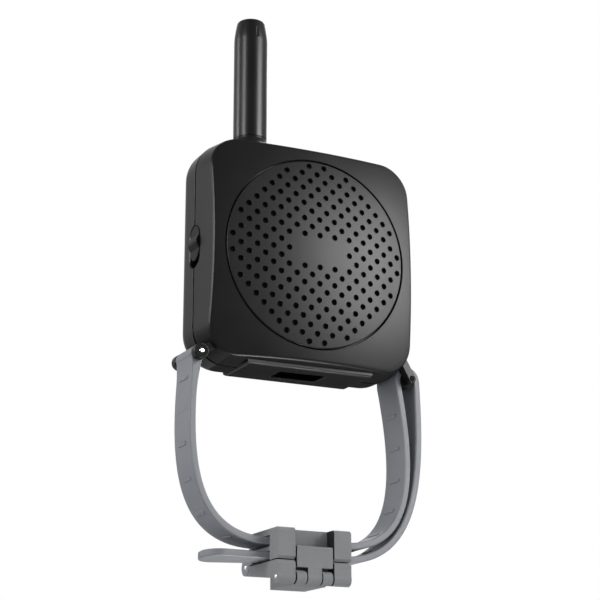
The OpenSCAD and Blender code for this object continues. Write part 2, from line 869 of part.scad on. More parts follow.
function reversed(list) = [for (k = [len(list) - 1 : -1 : 0]) list[k]];

module strap() {
    color([0.52, 0.53, 0.55]) difference() {
        union() {
            prism_y(strap_front, strap_back)
                polygon(concat(beside(strap_line, strap_t / 2), reversed(beside(strap_line, -strap_t / 2))));
            prism_y(strap_front, strap_back) translate([-lug_x, lug_z]) circle(eye_r);
        }
        prism_y(strap_front - over, strap_back + over)
            translate([-lug_x, lug_z]) circle(pin_d / 2 + turn_fit);
        prism_z(lower_z - 2 * strap_t, lower_z + 2 * strap_t) difference() {
            translate([tip_x - over, strap_front - over])
                square([strap_w / 2 + over, strap_w + 2 * over]);
            translate([tip_x + strap_w / 2, strap_mid]) circle(strap_w / 2);
        }
    }
}

// Upper half of the buckle: two posts, the channel for the strap, the catch ledge and the hinge ears
module buckle_frame() {
    back = slot_front + slot_w + back_wall_t;
    color([0.55, 0.55, 0.56]) difference() {
        union() {
            difference() {
                prism_x(-half_w, half_w) polygon([
                    [-buckle_reach, roof_z - bevel], [-buckle_reach + bevel, roof_z], [back - bevel, roof_z],
                    [back, roof_z - bevel], [back, frame_z], [-buckle_reach, frame_z]]);
                prism_x(-half_w - over, half_w + over) translate([slot_front, upper_z - slot_h / 2])
                    square([slot_w, slot_h]);
                prism_x(-half_w - over, half_w + over) translate([slot_front, frame_z - over])
                    square([slot_w, floor_z - frame_z + over]);
                prism_x(-post_x, post_x) translate([-buckle_reach - over, frame_z - over])
                    square([buckle_reach + over + recess_y, roof_z - frame_z + 2 * over]);
            }
            prism_x(-post_x, post_x) translate([ledge_y, ledge_top - ledge_h])
                square([recess_y - ledge_y + front_wall_t / 2, ledge_h]);
            for (s = [-1, 1]) mirror([s > 0 ? 0 : 1, 0, 0])
                prism_x(half_w - hinge_ear, half_w) hinge_arm(back);
        }
        translate([0, hinge_back, jaw_z]) rotate([0, 90, 0])
            cylinder(buckle_w + 2 * over, r = pin_d / 2 + pin_fit, center = true);
    }
}

// One hinge ear with its arm from the frame's back wall
module hinge_arm(back) {
    ear_z = frame_z + ear_rise;
    on_ear = hinge_r * sin(45);
    translate([hinge_back, jaw_z]) circle(hinge_r);
    polygon([
        [back - back_wall_t, frame_z], [back - back_wall_t, ear_z], [back, ear_z],
        [hinge_back + on_ear, jaw_z + on_ear], [hinge_back, jaw_z], [hinge_back - hinge_r, frame_z]]);
}

// Lower half of the buckle: it drops open about the hinge pin and carries the latch
module buckle_jaw() {
    ear_front = hinge_back - hinge_r - slip;
    barrel_x = half_w - hinge_ear - slip;
    cut_y = latch_y + knuckle_r + slip;
    heel_z = jaw_z - heel_h;
    belly_z = latch_z - belly_drop;
    under_z = latch_z - knuckle_r;
    color([0.55, 0.55, 0.56]) difference() {
        union() {
            difference() {
                prism_x(-half_w, half_w) union() {
                    polygon([
                        [-buckle_reach, jaw_z], [ear_front, jaw_z], [ear_front, heel_z],
                        [cut_y, belly_z], [latch_y, under_z], [latch_y, latch_z], [-buckle_reach, latch_z]]);
                    translate([latch_y, latch_z]) circle(knuckle_r);
                }
                prism_x(-post_x, post_x) translate([-buckle_reach - over, under_z - over])
                    square([cut_y + buckle_reach + over, jaw_z - under_z + 2 * over]);
            }
            for (s = [-1, 1]) mirror([s > 0 ? 0 : 1, 0, 0])
                prism_x(stem_x + slip, latch_w / 2) knuckle_arm(cut_y);
            prism_x(-barrel_x, barrel_x) union() {
                translate([hinge_back, jaw_z]) circle(hinge_r);
                translate([ear_front - over, heel_z]) square([hinge_back - ear_front + over, jaw_z - heel_z]);
            }
            prism_x(-lip_x, lip_x) polygon([
                [cut_y, belly_z + lip_t], [cut_y, under_z + lip_edge], [cut_y + lip_edge, under_z],
                [lip_back, latch_z - lip_h], [lip_back, heel_z - lip_edge],
                [cut_y + 2 * lip_t, belly_z + lip_t]]);
            for (k = [0 : tooth_count - 1])
                translate([(k - (tooth_count - 1) / 2) * tooth_step, 0, 0]) grip_tooth();
        }
        translate([0, hinge_back, jaw_z]) rotate([0, 90, 0])
            cylinder(buckle_w + 2 * over, r = pin_d / 2 + turn_fit, center = true);
        translate([0, latch_y, latch_z]) rotate([0, 90, 0])
            cylinder(buckle_w + 2 * over, r = pin_d / 2 + pin_fit, center = true);
    }
}

module knuckle_arm(cut_y) {
    translate([latch_y, latch_z]) circle(knuckle_r);
    arm_h = knuckle_r * 1.4;
    translate([latch_y, latch_z - arm_h / 2]) square([cut_y - latch_y + slip, arm_h]);
}

// One ridge across the jaw that bites the strap's lower run
module grip_tooth() {
    root_z = jaw_z - tooth_h;
    prism_y(strap_front, strap_back) polygon([
        [-tooth_w / 2, root_z], [-tooth_w / 2, jaw_z], [0, jaw_z + tooth_h],
        [tooth_w / 2, jaw_z], [tooth_w / 2, root_z]]);
}

// T-shaped latch plate with its hook and its knuckle on the latch pin
module buckle_latch() {
    back = -buckle_reach + latch_t;
    color([0.57, 0.57, 0.58]) difference() {
        union() {
            prism_x(-latch_w / 2, latch_w / 2) polygon([
                [-buckle_reach, latch_arm_z], [-buckle_reach, latch_top - bevel / 2],
                [-buckle_reach + bevel / 2, latch_top], [ledge_y + hook_hold, latch_top],
                [ledge_y + hook_hold, latch_top - hook_h], [back, latch_top - hook_h], [back, latch_arm_z]]);
            prism_x(-stem_x, stem_x) translate([-buckle_reach, latch_z])
                square([latch_t, latch_arm_z - latch_z + bevel]);
            translate([0, latch_y, latch_z]) rotate([0, 90, 0])
                cylinder(2 * stem_x, r = knuckle_r, center = true);
        }
        translate([0, latch_y, latch_z]) rotate([0, 90, 0])
            cylinder(2 * stem_x + 2 * over, r = pin_d / 2 + turn_fit, center = true);
    }
}

module jaw_pin() {
    color([0.8, 0.8, 0.82]) translate([0, hinge_back, jaw_z]) rotate([0, 90, 0])
        cylinder(buckle_w, r = pin_d / 2, center = true);
}

module latch_pin() {
    color([0.8, 0.8, 0.82]) translate([0, latch_y, latch_z]) rotate([0, 90, 0])
        cylinder(buckle_w, r = pin_d / 2, center = true);
}

front_shell();
rear_shell();
shell_seal();
base_pad();
grille_plate();
dust_mesh();
speaker_gasket();
speaker_frame();
speaker_surround();
speaker_spider();
speaker_cone();
dust_cap();
voice_coil();
magnet_front_plate();
speaker_magnet();
magnet_yoke();
circuit_board();
usb_socket();
slide_switch();
switch_knob();
battery_pad();
battery_pack();
antenna_connector();
antenna_collar();
antenna();
case_screws();
strap_pin();
strap_bar();
strap();
buckle_frame();
buckle_jaw();
buckle_latch();
jaw_pin();
latch_pin();
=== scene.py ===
# %% [markdown]
# # A strap-on field loudspeaker
# The object is a palm-sized black loudspeaker for use outdoors: a domed square case with a drilled round
# grille, a stub antenna on top, a slide switch on the left, and a grey silicone strap that hangs from two
# lugs and closes round a pole or branch with a clamp buckle.
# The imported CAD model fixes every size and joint, and each cell below gives one part of it rounded edges,
# fine forms and a finish.

# %% Load the frame
import math

import bmesh
import bpy
import numpy as np
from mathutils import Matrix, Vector


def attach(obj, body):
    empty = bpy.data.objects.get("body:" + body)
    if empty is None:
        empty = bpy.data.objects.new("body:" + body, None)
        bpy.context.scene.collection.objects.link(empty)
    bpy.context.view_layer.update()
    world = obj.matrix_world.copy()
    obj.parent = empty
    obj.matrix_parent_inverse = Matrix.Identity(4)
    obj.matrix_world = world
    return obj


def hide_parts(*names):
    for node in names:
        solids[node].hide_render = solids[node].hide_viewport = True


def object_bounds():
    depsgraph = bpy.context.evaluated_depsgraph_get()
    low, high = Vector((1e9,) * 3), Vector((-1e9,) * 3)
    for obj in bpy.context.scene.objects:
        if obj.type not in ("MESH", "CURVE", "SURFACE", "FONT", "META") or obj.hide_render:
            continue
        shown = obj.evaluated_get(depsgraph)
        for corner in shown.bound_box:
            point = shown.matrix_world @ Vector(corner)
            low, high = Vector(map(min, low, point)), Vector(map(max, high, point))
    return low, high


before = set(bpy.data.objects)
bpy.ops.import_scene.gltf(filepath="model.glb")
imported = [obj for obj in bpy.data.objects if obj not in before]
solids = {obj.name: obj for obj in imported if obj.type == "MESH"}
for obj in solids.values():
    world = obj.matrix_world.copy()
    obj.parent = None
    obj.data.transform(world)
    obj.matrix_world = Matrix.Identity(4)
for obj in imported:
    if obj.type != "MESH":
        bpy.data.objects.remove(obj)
cad_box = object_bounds()
MM = 0.001               # the measures below are in millimetres, Blender's are in metres

# %% [markdown]
# ## The camera
# The view is from low on the left, with a long lens, so the case shows its face, its left side and a little
# of its underside. A camera can be placed by eye, but here its place, direction and focal length were fitted
# to corners of the case, so that the render and the photograph can be laid over each other.

# %% Place the camera
FRAME_PX, FOCAL_PX = 600, 1646.94
SENSOR = 36.0
CAMERA_AT = (-215.70, -439.77, -119.73)
CAMERA_TURN, CAMERA_RISE = -26.206, -16.416


def direction(azimuth, elevation):
    """The unit vector towards an azimuth, counted from the front to the right, and a height angle."""
    turn, rise = math.radians(azimuth), math.radians(elevation)
    return Vector((math.sin(turn) * math.cos(rise), -math.cos(turn) * math.cos(rise), math.sin(rise)))


def placed(name, data):
    """A new object in the scene."""
    thing = bpy.data.objects.new(name, data)
    bpy.context.collection.objects.link(thing)
    return thing


camera_data = bpy.data.cameras.new("photo_camera")
camera_data.sensor_width = SENSOR
camera_data.lens = FOCAL_PX * SENSOR / FRAME_PX
camera = placed("photo_camera", camera_data)
camera.location = Vector(CAMERA_AT) * MM
camera.rotation_euler = direction(CAMERA_TURN, CAMERA_RISE).to_track_quat("Z", "Y").to_euler()
bpy.context.scene.camera = camera
bpy.context.scene.view_settings.view_transform = "Standard"
print("camera: lens", round(camera_data.lens, 1), "mm")

# %% [markdown]
# ## Sums on sockets
# A finish is a sum of noises, masks and tints. Wiring each Math node by hand hides the sum, so a small class
# wraps one socket, and Python's operators add the nodes. Colours go through a Mix node, because a Math node
# would turn them grey.

# %% Wrap a socket
WAVE_TURN = 20           # a Wave node turns its sine by this much over one unit of its scale


class Tone:
    """A shader socket that takes part in Python sums."""

    def __init__(self, tree, socket=None):
        self.tree = tree
        self.socket = socket

    def node(self, kind, settings=(), sockets=(), out=0):
        """Adds a node: its settings first, then the values or links of its sockets."""
        made = self.tree.nodes.new(kind)
        for name, value in dict(settings).items():
            setattr(made, name, value)
        for name, value in dict(sockets).items():
            if isinstance(value, Tone):
                self.tree.links.new(value.socket, made.inputs[name])
            else:
                made.inputs[name].default_value = value
        return Tone(self.tree, made.outputs[out])

    def maths(self, operation, *terms):
        """Adds a Math node over values and sockets."""
        return self.node("ShaderNodeMath", {"operation": operation}, enumerate(terms))

    __add__ = __radd__ = lambda self, other: self.maths("ADD", self, other)
    __mul__ = __rmul__ = lambda self, other: self.maths("MULTIPLY", self, other)
    __sub__ = lambda self, other: self.maths("SUBTRACT", self, other)
    __rsub__ = lambda self, other: self.maths("SUBTRACT", other, self)
    __lt__ = lambda self, other: self.maths("LESS_THAN", self, other)
    __abs__ = lambda self: self.maths("ABSOLUTE", self)
    at_most = lambda self, other: self.maths("MINIMUM", self, other)

    def axes(self):
        """The three coordinates of a vector, one socket each."""
        split = self.node("ShaderNodeSeparateXYZ", (), {"Vector": self}).socket.node
        return [Tone(self.tree, socket) for socket in split.outputs]

    def noise(self, period, detail=2.0):
        """Soft noise over a vector in metres, with a period in millimetres."""
        sockets = {"Vector": self, "Scale": 1 / (period * MM), "Detail": detail}
        return self.node("ShaderNodeTexNoise", (), sockets)

    def waves(self, period, axis):
        """Parallel bands along one axis, with a period in millimetres."""
        settings = {"wave_type": "BANDS", "bands_direction": axis, "wave_profile": "SIN"}
        scale = 2 * math.pi / (WAVE_TURN * period * MM)
        return self.node("ShaderNodeTexWave", settings, {"Vector": self, "Scale": scale}, "Fac")

    def tint(self, dark, light):
        """A colour between two, chosen by this value; a Mix node keeps colours in sockets 6 and 7."""
        sockets = {0: self, 6: (*dark, 1.0), 7: (*light, 1.0)}
        return self.node("ShaderNodeMix", {"data_type": "RGBA"}, sockets, 2)

    def relief(self, depth, strength):
        """A normal that is tilted as if this value stood proud by up to depth millimetres."""
        sockets = {"Height": self, "Distance": depth * MM, "Strength": strength}
        return self.node("ShaderNodeBump", (), sockets)


print("sums on sockets: ready")

# %% [markdown]
# ## A pale room
# The photograph has a plain white ground. A white wall would flood the black case with light, so the world
# is white only for the rays that look at it or are mirrored into it, and dim for the rays that carry light.
# The floor lies under the hanging strap and below the lens, and it keeps the shadow.

# %% Make the world and the floor
ROOM_FILL = 0.3
FLOOR_Z, FLOOR_HALF = -0.45, 3.0
SQUARE = [(-1, -1), (1, -1), (1, 1), (-1, 1)]


def seen(tree):
    """One for the rays from the camera and for mirrored and passing rays, and zero for the others."""
    rays = [Tone(tree).node("ShaderNodeLightPath", out=f"Is {kind} Ray")
            for kind in ("Camera", "Glossy", "Transmission")]
    return (rays[0] + rays[1] + rays[2]).at_most(1.0)


world = bpy.data.worlds.new("pale_room")
world.use_nodes = True
bpy.context.scene.world = world
background = world.node_tree.nodes["Background"]
background.inputs["Color"].default_value = (1.0, 1.0, 1.0, 1.0)
room_light = ROOM_FILL + (1 - ROOM_FILL) * seen(world.node_tree)
world.node_tree.links.new(room_light.socket, background.inputs["Strength"])

floor_mesh = bpy.data.meshes.new("floor")
corners = [(x * FLOOR_HALF, y * FLOOR_HALF, FLOOR_Z) for x, y in SQUARE]
floor_mesh.from_pydata(corners, [], [(0, 1, 2, 3)])
floor = placed("floor", floor_mesh)
print("room: floor at", FLOOR_Z, "m, fill", ROOM_FILL)

# %% [markdown]
# ## Soft lamps
# The antenna is a round rod, so it works like a small curved mirror: its bright bands tell where the lamps
# stood. A box to the right gives the right band, a strip and a weaker box give the two on the left, and a
# faint lamp low on the left stands for light off a pale floor. Black plastic shows little but what it mirrors,
# so the main lamps have bright twins that only reflections can see, and one more such card draws the thin
# line under the case. The light on the grey strap stays plain that way. A lamp behind shows the back.

# %% Hang the lamps
AIM = Vector((0.0, 0.0, 0.03))


def softbox(name, azimuth, elevation, reach, wide, tall, watts, glint=False):
    """A soft rectangular lamp aimed at the middle of the object; a glint only shows as a reflection."""
    lamp = bpy.data.lights.new(name, "AREA")
    lamp.shape = "RECTANGLE"
    lamp.size = wide
    lamp.size_y = tall
    lamp.energy = watts
    holder = placed(name, lamp)
    toward = direction(azimuth, elevation)
    holder.location = AIM + reach * toward
    holder.rotation_euler = toward.to_track_quat("Z", "Y").to_euler()
    holder.visible_camera = False
    holder.visible_diffuse = not glint


# name, azimuth and height angle in degrees, distance, width and height in metres, power in watts
softbox("right_box", 52, 20, 0.8, 0.36, 0.42, 2.5)
softbox("left_strip", -80, 12, 0.8, 0.16, 0.42, 1.15)
softbox("floor_bounce", -85, -35, 0.8, 0.40, 0.30, 0.35)
softbox("left_box", -130, 16, 0.8, 0.14, 0.40, 0.3)
softbox("right_glint", 39, 15, 0.8, 0.36, 0.42, 24.5, glint=True)
softbox("left_glint", -68, 16, 0.8, 0.16, 0.42, 13.0, glint=True)
softbox("back_glint", -116, 16, 0.8, 0.14, 0.42, 6.0, glint=True)
softbox("low_glint", 80, -77, 0.4, 0.12, 0.12, 5.5, glint=True)
softbox("rear_box", 150, 25, 0.8, 0.36, 0.42, 1.8)

# %% [markdown]
# ## Finishes
# Every finish starts from the place of a point on the object, in metres. What is the same all over goes on
# the shader's own sockets. What changes over the surface comes from noise at the scale of the real thing.
# The floor's paint comes first. It glows a little, for the same rays as the world.

# %% Make a finish from its parts
FLOOR_GREY, FLOOR_GLOW = 0.86, 0.4


def finish(name, varied, **fixed):
    """A material: fixed values sit on the shader's sockets, and varied ones are linked to them."""
    material = bpy.data.materials.new(name)
    material["slot"] = name
    material.use_nodes = True
    tree = material.node_tree
    shader = tree.nodes["Principled BSDF"]
    for socket, value in fixed.items():
        shader.inputs[socket.replace("_", " ")].default_value = value
    place = Tone(tree).node("ShaderNodeTexCoord", out="Object")
    for socket, tone in varied(place).items():
        tree.links.new(tone.socket, shader.inputs[socket])
    return material


def marked(shade, dark, light, rough, marks, depth, strength=1.0):
    """What varies in most finishes: a colour between two, a roughness, and a relief of marks."""
    colour = shade.tint(dark, light)
    return {"Base Color": colour, "Roughness": rough, "Normal": marks.relief(depth, strength)}


def greyed(level, warmth=0.0):
    """A nearly neutral colour of one level; warmth above zero takes blue away."""
    return (level * (1 + warmth), level, level * (1 - warmth))


floor_paint = finish("floor_paint", lambda place: {"Emission Color": seen(place.tree)},
                     Base_Color=(*greyed(FLOOR_GREY), 1.0), Roughness=0.9, Specular_IOR_Level=0.1,
                     Emission_Strength=FLOOR_GLOW)
floor_mesh.materials.append(floor_paint)
print("finishes: floor painted")

# %% [markdown]
# ### Moulded plastic
# The case, the grille, the knob and the antenna come out of moulds whose steel was etched to a fine satin.
# Such plastic is nearly black, its gloss drifts a little from place to place, and the etching shows only
# close by. Paint would need an undercoat and edges that wear through; here the colour goes right through.
# Duller mixes of the same plastics are for the lugs and the underside, whose colour is painted lighter for the
# light from the floor; dark mixes paint the shade in the seam, the port and the buckle's gaps.

# %% Mould the black and grey plastics
CLOUD, GRAIN, SPECK = 14.0, 0.22, 0.5        # the sizes of the marks in the plastic


def moulded(name, level, gloss, etch=0.004, warmth=0.0, sheen=0.065, drift=0.12, speck=0.0):
    """Satin plastic: a through colour that drifts, with etched grain in its gloss and its relief."""
    def varied(place):
        cloud = place.noise(CLOUD, 3.0)
        grain = place.noise(GRAIN, 1.0)
        shade = cloud + speck * (place.noise(SPECK, 1.0) - 0.5)
        dark, light = greyed(level * (1 - drift), warmth), greyed(level * (1 + drift), warmth)
        rough = gloss + 0.10 * (cloud - 0.5) + 0.05 * (grain - 0.5)
        return marked(shade, dark, light, rough, grain, etch)
    return finish(name, varied, Specular_IOR_Level=sheen)


case_plastic = moulded("case_plastic", 0.0105, 0.34)
lug_plastic = moulded("case_plastic", 0.008, 0.70, sheen=0.04)
# matt, with its colour painted lighter for the light that the floor throws up on the underside
matt_underside_painted_light = moulded("case_plastic", 0.046, 0.70, sheen=0.0)
# black paint for shade: the faces in the case's seam and on the walls of the charging port
painted_shade_black = moulded("case_plastic", 0.002, 0.80, sheen=0.0)
grille_plastic = moulded("grille_plastic", 0.0165, 0.37)
knob_plastic = moulded("knob_plastic", 0.006, 0.45, sheen=0.05)
antenna_plastic = moulded("antenna_plastic", 0.006, 0.32, etch=0.002, sheen=0.095)
# dark paint for the shade in the buckle's narrow gaps and beside its latch
gap_painted_shade = moulded("buckle_plastic", 0.05, 0.70, warmth=-0.03, sheen=0.0)
buckle_plastic = moulded("buckle_plastic", 0.41, 0.60, warmth=-0.03, sheen=0.0, drift=0.06, speck=2.0)
switch_plastic = moulded("switch_plastic", 0.03, 0.5)
print("plastics: case, grille, knob, antenna, buckle, switch")

# %% [markdown]
# ### Silicone and rubber
# The strap is cast silicone: soft grey, matt, and a little dusty, because silicone holds dust. A low, broad
# gloss keeps it from looking like painted metal. The seals are the same stuff in black.

# %% Cast the silicone and the rubber


def cast(name, colour):
    """Matt elastomer with a faint dusty mottle."""
    def varied(place):
        dust = place.noise(3.5, 4.0)
        pores = place.noise(0.3, 2.0)
        dark, light = ([c * swing for c in colour] for swing in (0.94, 1.06))
        return marked(dust, dark, light, 0.62 + 0.12 * (dust - 0.5), pores, 0.006)
    return finish(name, varied, Specular_IOR_Level=0.3)


strap_silicone = cast("strap_silicone", (0.232, 0.246, 0.277))
seal_rubber = cast("seal_rubber", (0.012, 0.012, 0.012))
print("elastomers: strap, seals")

# %% [markdown]
# ### Metals
# The pins are bright bar steel with fine lines from the lathe, the screws are blackened, and the antenna's
# connector is brass. A mirror with no marks looks like liquid, so each has brushed lines and a mottle in its
# roughness.

# %% Finish the metals


def metal(name, colour, gloss, axis, pitch=0.12):
    """Bare or plated metal with lines of one pitch across an axis."""
    def varied(place):
        mottle = place.noise(2.5, 3.0)
        lines = place.waves(pitch, axis)
        rough = gloss + 0.12 * (mottle - 0.5) + 0.05 * (lines - 0.5)
        return marked(mottle, [c * 0.88 for c in colour], colour, rough, lines, 0.001, 0.6)
    return finish(name, varied, Metallic=1.0)


pin_steel = metal("pin_steel", (0.80, 0.80, 0.79), 0.22, "Y")
screw_steel = metal("screw_steel", (0.10, 0.10, 0.105), 0.36, "X")
frame_steel = metal("frame_steel", (0.36, 0.36, 0.35), 0.42, "Z")
brass = metal("brass", (0.72, 0.52, 0.24), 0.28, "Z")
copper = metal("copper", (0.72, 0.36, 0.22), 0.30, "Y", 0.2)
print("metals: pin, screw, frame, brass, copper")

# %% [markdown]
# The charging socket is a plated shell round a dark tongue, all one solid in the frame. A mask on the
# distance from the socket's middle plane tells the tongue from the shell.

# %% Plate the socket and the magnet plates
TONGUE_SIDE, TONGUE_HALF, TONGUE_TOP = 0.0034, 0.0005, 0.011


def plated(place):
    """Bright plating, with a dark moulded tongue inside the socket."""
    mottle = place.noise(2.0, 3.0)
    across, deep, up = place.axes()
    tongue = (abs(across) < TONGUE_SIDE) * (abs(deep) < TONGUE_HALF) * (up < TONGUE_TOP)
    return {"Base Color": (1 - tongue).tint((0.012, 0.012, 0.012), (0.62, 0.62, 0.61)),
            "Metallic": 1 - tongue,
            "Roughness": 0.30 + 0.14 * (mottle - 0.5) + 0.2 * tongue}


plated_steel = finish("plated_steel", plated)
print("plating: socket and magnet plates")

# %% [markdown]
# ### Cloth, paper, foam and laminate
# These stay inside the case, and show only where a hole lets the eye in. The dust cloth is a plain weave
# behind the drilled holes, the cone is pressed paper pulp, the board is green laminate, the magnet is dull
# ferrite and the battery a pouch of wrinkled foil.

# %% Weave, press and laminate
THREAD, CELL, GLASS = 0.5, 0.5, 0.9          # the pitch of cloth, foam and the laminate's glass


def woven(place):
    """A plain weave of black thread."""
    thread = place.waves(THREAD, "X") * place.waves(THREAD, "Z")
    return marked(thread, greyed(0.003), greyed(0.012), 0.9 - 0.15 * thread, thread, 0.05)


def grained(blotch, marks, dark, light, gloss, swing, depth):
    """Blotches in the colour, marks in the gloss and the relief; both are noises of a period and a detail."""
    def varied(place):
        fine = place.noise(*marks)
        return marked(place.noise(*blotch), dark, light, gloss + swing * (fine - 0.5), fine, depth)
    return varied


def cellular(place):
    """Open foam."""
    cells = place.node("ShaderNodeTexVoronoi", (), {"Vector": place, "Scale": 1 / (CELL * MM)})
    return marked(cells, (0.015, 0.015, 0.016), (0.05, 0.05, 0.052), 0.95 - 0.1 * cells, cells, 0.12)


def laminated(place):
    """Solder mask over a woven laminate."""
    weave = place.waves(GLASS, "X") * place.waves(GLASS, "Z")
    cloud = place.noise(6.0, 2.0)
    dark, light = (0.006, 0.045, 0.018), (0.01, 0.075, 0.03)
    return marked(cloud, dark, light, 0.35 + 0.1 * (cloud - 0.5), weave, 0.01)


fibrous = grained((4.0, 4.0), (0.5, 3.0), (0.022, 0.021, 0.019), (0.04, 0.038, 0.034), 0.85, 0.1, 0.03)
gritty = grained((5.0, 3.0), (0.25, 2.0), (0.028, 0.028, 0.03), (0.05, 0.05, 0.052), 0.68, 0.15, 0.02)
wrinkled = grained((12.0, 2.0), (5.0, 4.0), (0.45, 0.46, 0.47), (0.56, 0.57, 0.58), 0.32, 0.15, 0.15)
speaker_cloth = finish("speaker_cloth", woven)
cone_paper = finish("cone_paper", fibrous)
foam = finish("foam", cellular)
board_laminate = finish("board_laminate", laminated)
ferrite = finish("ferrite", gritty)
battery_foil = finish("battery_foil", wrinkled, Metallic=0.6)
print("inside: cloth, paper, foam, laminate, ferrite, foil")

# %% [markdown]
# ## How the pieces are made
# Most pieces are skins over rings of points, each joined to the next by a band of four-sided faces. That
# gives full control of rounded edges. Holes and slots are cut with Boolean tools, and straight-edged CAD
# pieces are copied and bevelled.

# %% Helpers for skins
WELD = 1e-8


def tidied(bm, name):
    """Writes a bmesh to a new mesh with its faces turned outward."""
    bmesh.ops.remove_doubles(bm, verts=bm.verts, dist=WELD)
    bmesh.ops.recalc_face_normals(bm, faces=bm.faces)
    mesh = bpy.data.meshes.new(name)
    bm.to_mesh(mesh)
    bm.free()
    return mesh


def skin(rings, closed=False):
    """A mesh over rings of one count, in millimetres: capped at both ends, or joined end to start."""
    count = len(rings[0])
    bm = bmesh.new()
    loops = [[bm.verts.new(Vector(point) * MM) for point in ring] for ring in rings]
    pairs = list(zip(loops, loops[1:]))
    if closed:
        pairs.append((loops[-1], loops[0]))
    else:
        bm.faces.new(loops[0])
        bm.faces.new(loops[-1])
    for low, high in pairs:
        for i in range(count):
            j = (i + 1) % count
            bm.faces.new((low[i], low[j], high[j], high[i]))
    return tidied(bm, "skin")


def arc(centre, radius, start, end, steps):
    """Points on an arc in the plane, with both ends."""
    turns = np.radians(np.linspace(start, end, steps + 1))
    return [(centre[0] + radius * math.cos(t), centre[1] + radius * math.sin(t)) for t in turns]


def turned(profile, place, count=96, closed=False):
    """A skin that is turned on an axis from pairs of radius and height; place sets it in the frame."""
    turn = 2 * np.pi * np.arange(count) / count
    rings = [place(r * np.cos(turn), r * np.sin(turn), np.full(count, h)) for r, h in profile]
    return skin(rings, closed)


def pill(a, b, radius, rims, place, steps=10):
    """A prism over the slot-shaped outline round the line a to b; rims are pairs of inset and depth."""
    lean = math.degrees(math.atan2(b[1] - a[1], b[0] - a[0]))
    rings = []
    for inset, depth in rims:
        ends = arc(b, radius - inset, lean - 90, lean + 90, steps)
        ends += arc(a, radius - inset, lean + 90, lean + 270, steps)
        u, v = np.array(ends).T
        rings.append(place(u, v, np.full(len(u), depth)))
    return skin(rings)


def rounded_rims(low, high, edge, steps=4):
    """Insets and depths of a prism from low to high whose two rims are rounded."""
    turns = np.radians(np.linspace(0, 90, steps + 1))
    start = [(edge * (1 - math.sin(t)), low + edge * (1 - math.cos(t))) for t in turns]
    end = [(inset, low + high - depth) for inset, depth in reversed(start)]
    return start + end


def face_on(u, v, depth):
    """Sets a flat shape into X and Z, with its depth along Y."""
    return np.stack([u, depth, v], 1)


def through(x, z):
    """Sets a turned shape on an axis from front to back."""
    return lambda u, v, depth: face_on(u + x, v + z, depth)


def side_on(u, v, depth):
    """Sets a flat shape into Y and Z, with its depth along X."""
    return np.stack([depth, u, v], 1)


print("helpers: skins")

# %% [markdown]
# More helpers cut meshes, round the edges of copies and hang pieces on the frame. Modifiers could stay live,
# but they are applied at once, so that the next step works on the real points.

# %% Helpers for cuts and pieces
SAME_POINT = 2e-6
NEARLY_FLAT, SHARP = 0.6, 24                 # angles between faces, in degrees


def worked(mesh, kind, **settings):
    """The mesh after one modifier."""
    holder = placed("work", mesh)
    step = holder.modifiers.new("step", kind)
    for name, value in settings.items():
        setattr(step, name, value)
    graph = bpy.context.evaluated_depsgraph_get()
    result = bpy.data.meshes.new_from_object(holder.evaluated_get(graph))
    bpy.data.objects.remove(holder)
    return result


def joined(mesh, tool, operation="UNION"):
    """The mesh after an exact Boolean with a tool."""
    holder = placed("tool", tool)
    result = worked(mesh, "BOOLEAN", object=holder, operation=operation, solver="EXACT")
    bpy.data.objects.remove(holder)
    return result


def cut(mesh, tool):
    """The mesh with the tool's shape taken away."""
    return joined(mesh, tool, "DIFFERENCE")


def gathered(meshes):
    """Several separate meshes as one."""
    bm = bmesh.new()
    for mesh in meshes:
        bm.from_mesh(mesh)
    return tidied(bm, "gathered")


def softened(node, edge, steps=3, chamfer=0.0, chosen=None):
    """A copy of a solid's mesh with its sharp edges rounded over, after a chamfer on the chosen ones."""
    bm = bmesh.new()
    bm.from_mesh(solids[node].data)
    bmesh.ops.remove_doubles(bm, verts=bm.verts, dist=SAME_POINT)
    bmesh.ops.dissolve_limit(bm, angle_limit=math.radians(NEARLY_FLAT), verts=bm.verts, edges=bm.edges)
    if chosen:
        wide = [e for e in bm.edges if all(chosen(v.co / MM) for v in e.verts)]
        bmesh.ops.bevel(bm, geom=wide, offset=chamfer * MM, offset_type="OFFSET", segments=1,
                        affect="EDGES")
    sharp = [e for e in bm.edges if e.is_manifold and e.calc_face_angle(0.0) > math.radians(SHARP)]
    bmesh.ops.bevel(bm, geom=sharp, offset=edge * MM, offset_type="OFFSET", segments=steps, profile=0.5,
                    affect="EDGES", clamp_overlap=True)
    return tidied(bm, node)


def piece(name, mesh, material, body, nodes, crisp=32):
    """Hangs a mesh on its body, gives it its finish and hides the solids that it stands for."""
    mesh.materials.clear()
    mesh.materials.append(material)
    mesh.shade_smooth()
    mesh.set_sharp_from_angle(angle=math.radians(crisp))
    mesh = worked(mesh, "WEIGHTED_NORMAL", keep_sharp=True)
    mesh.name = name
    thing = placed(name, mesh)
    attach(thing, body)
    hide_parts(*nodes)
    print("piece:", name, len(mesh.vertices), "points")
    return thing


def faced(thing, material, chosen):
    """Gives another finish to the faces that are chosen."""
    thing.data.materials.append(material)
    for face in thing.data.polygons:
        if chosen(face.normal, face.center / MM):
            face.material_index = len(thing.data.materials) - 1


print("helpers: cuts and pieces")

# %% [markdown]
# ## The case
# The case is two mouldings that meet at a seam, where it is widest. From there the walls of the front draw in
# by a few degrees, so that it leaves its mould, up to a face that is part of a large ball. A bevel modifier
# would give an uneven edge where that face meets the walls, so the edge is drawn as a small ball would roll
# along it: at each point the ball touches the wall and the dome, and a narrow chamfer joins the two places.

# %% Draw the outline of the case
SIDE, TALL, CORNER, CASE_Z = 35.4, 35.5, 11.0, 35.9
FRONT_Y, BACK_Y, SEAM_Y = -15.5, 12.5, -0.9
WALL, LEAN = 1.8, math.radians(8)
DOME_R = 170.0
DOME_Y = FRONT_Y + DOME_R
SIDE_STEPS, CORNER_STEPS = 24, 12


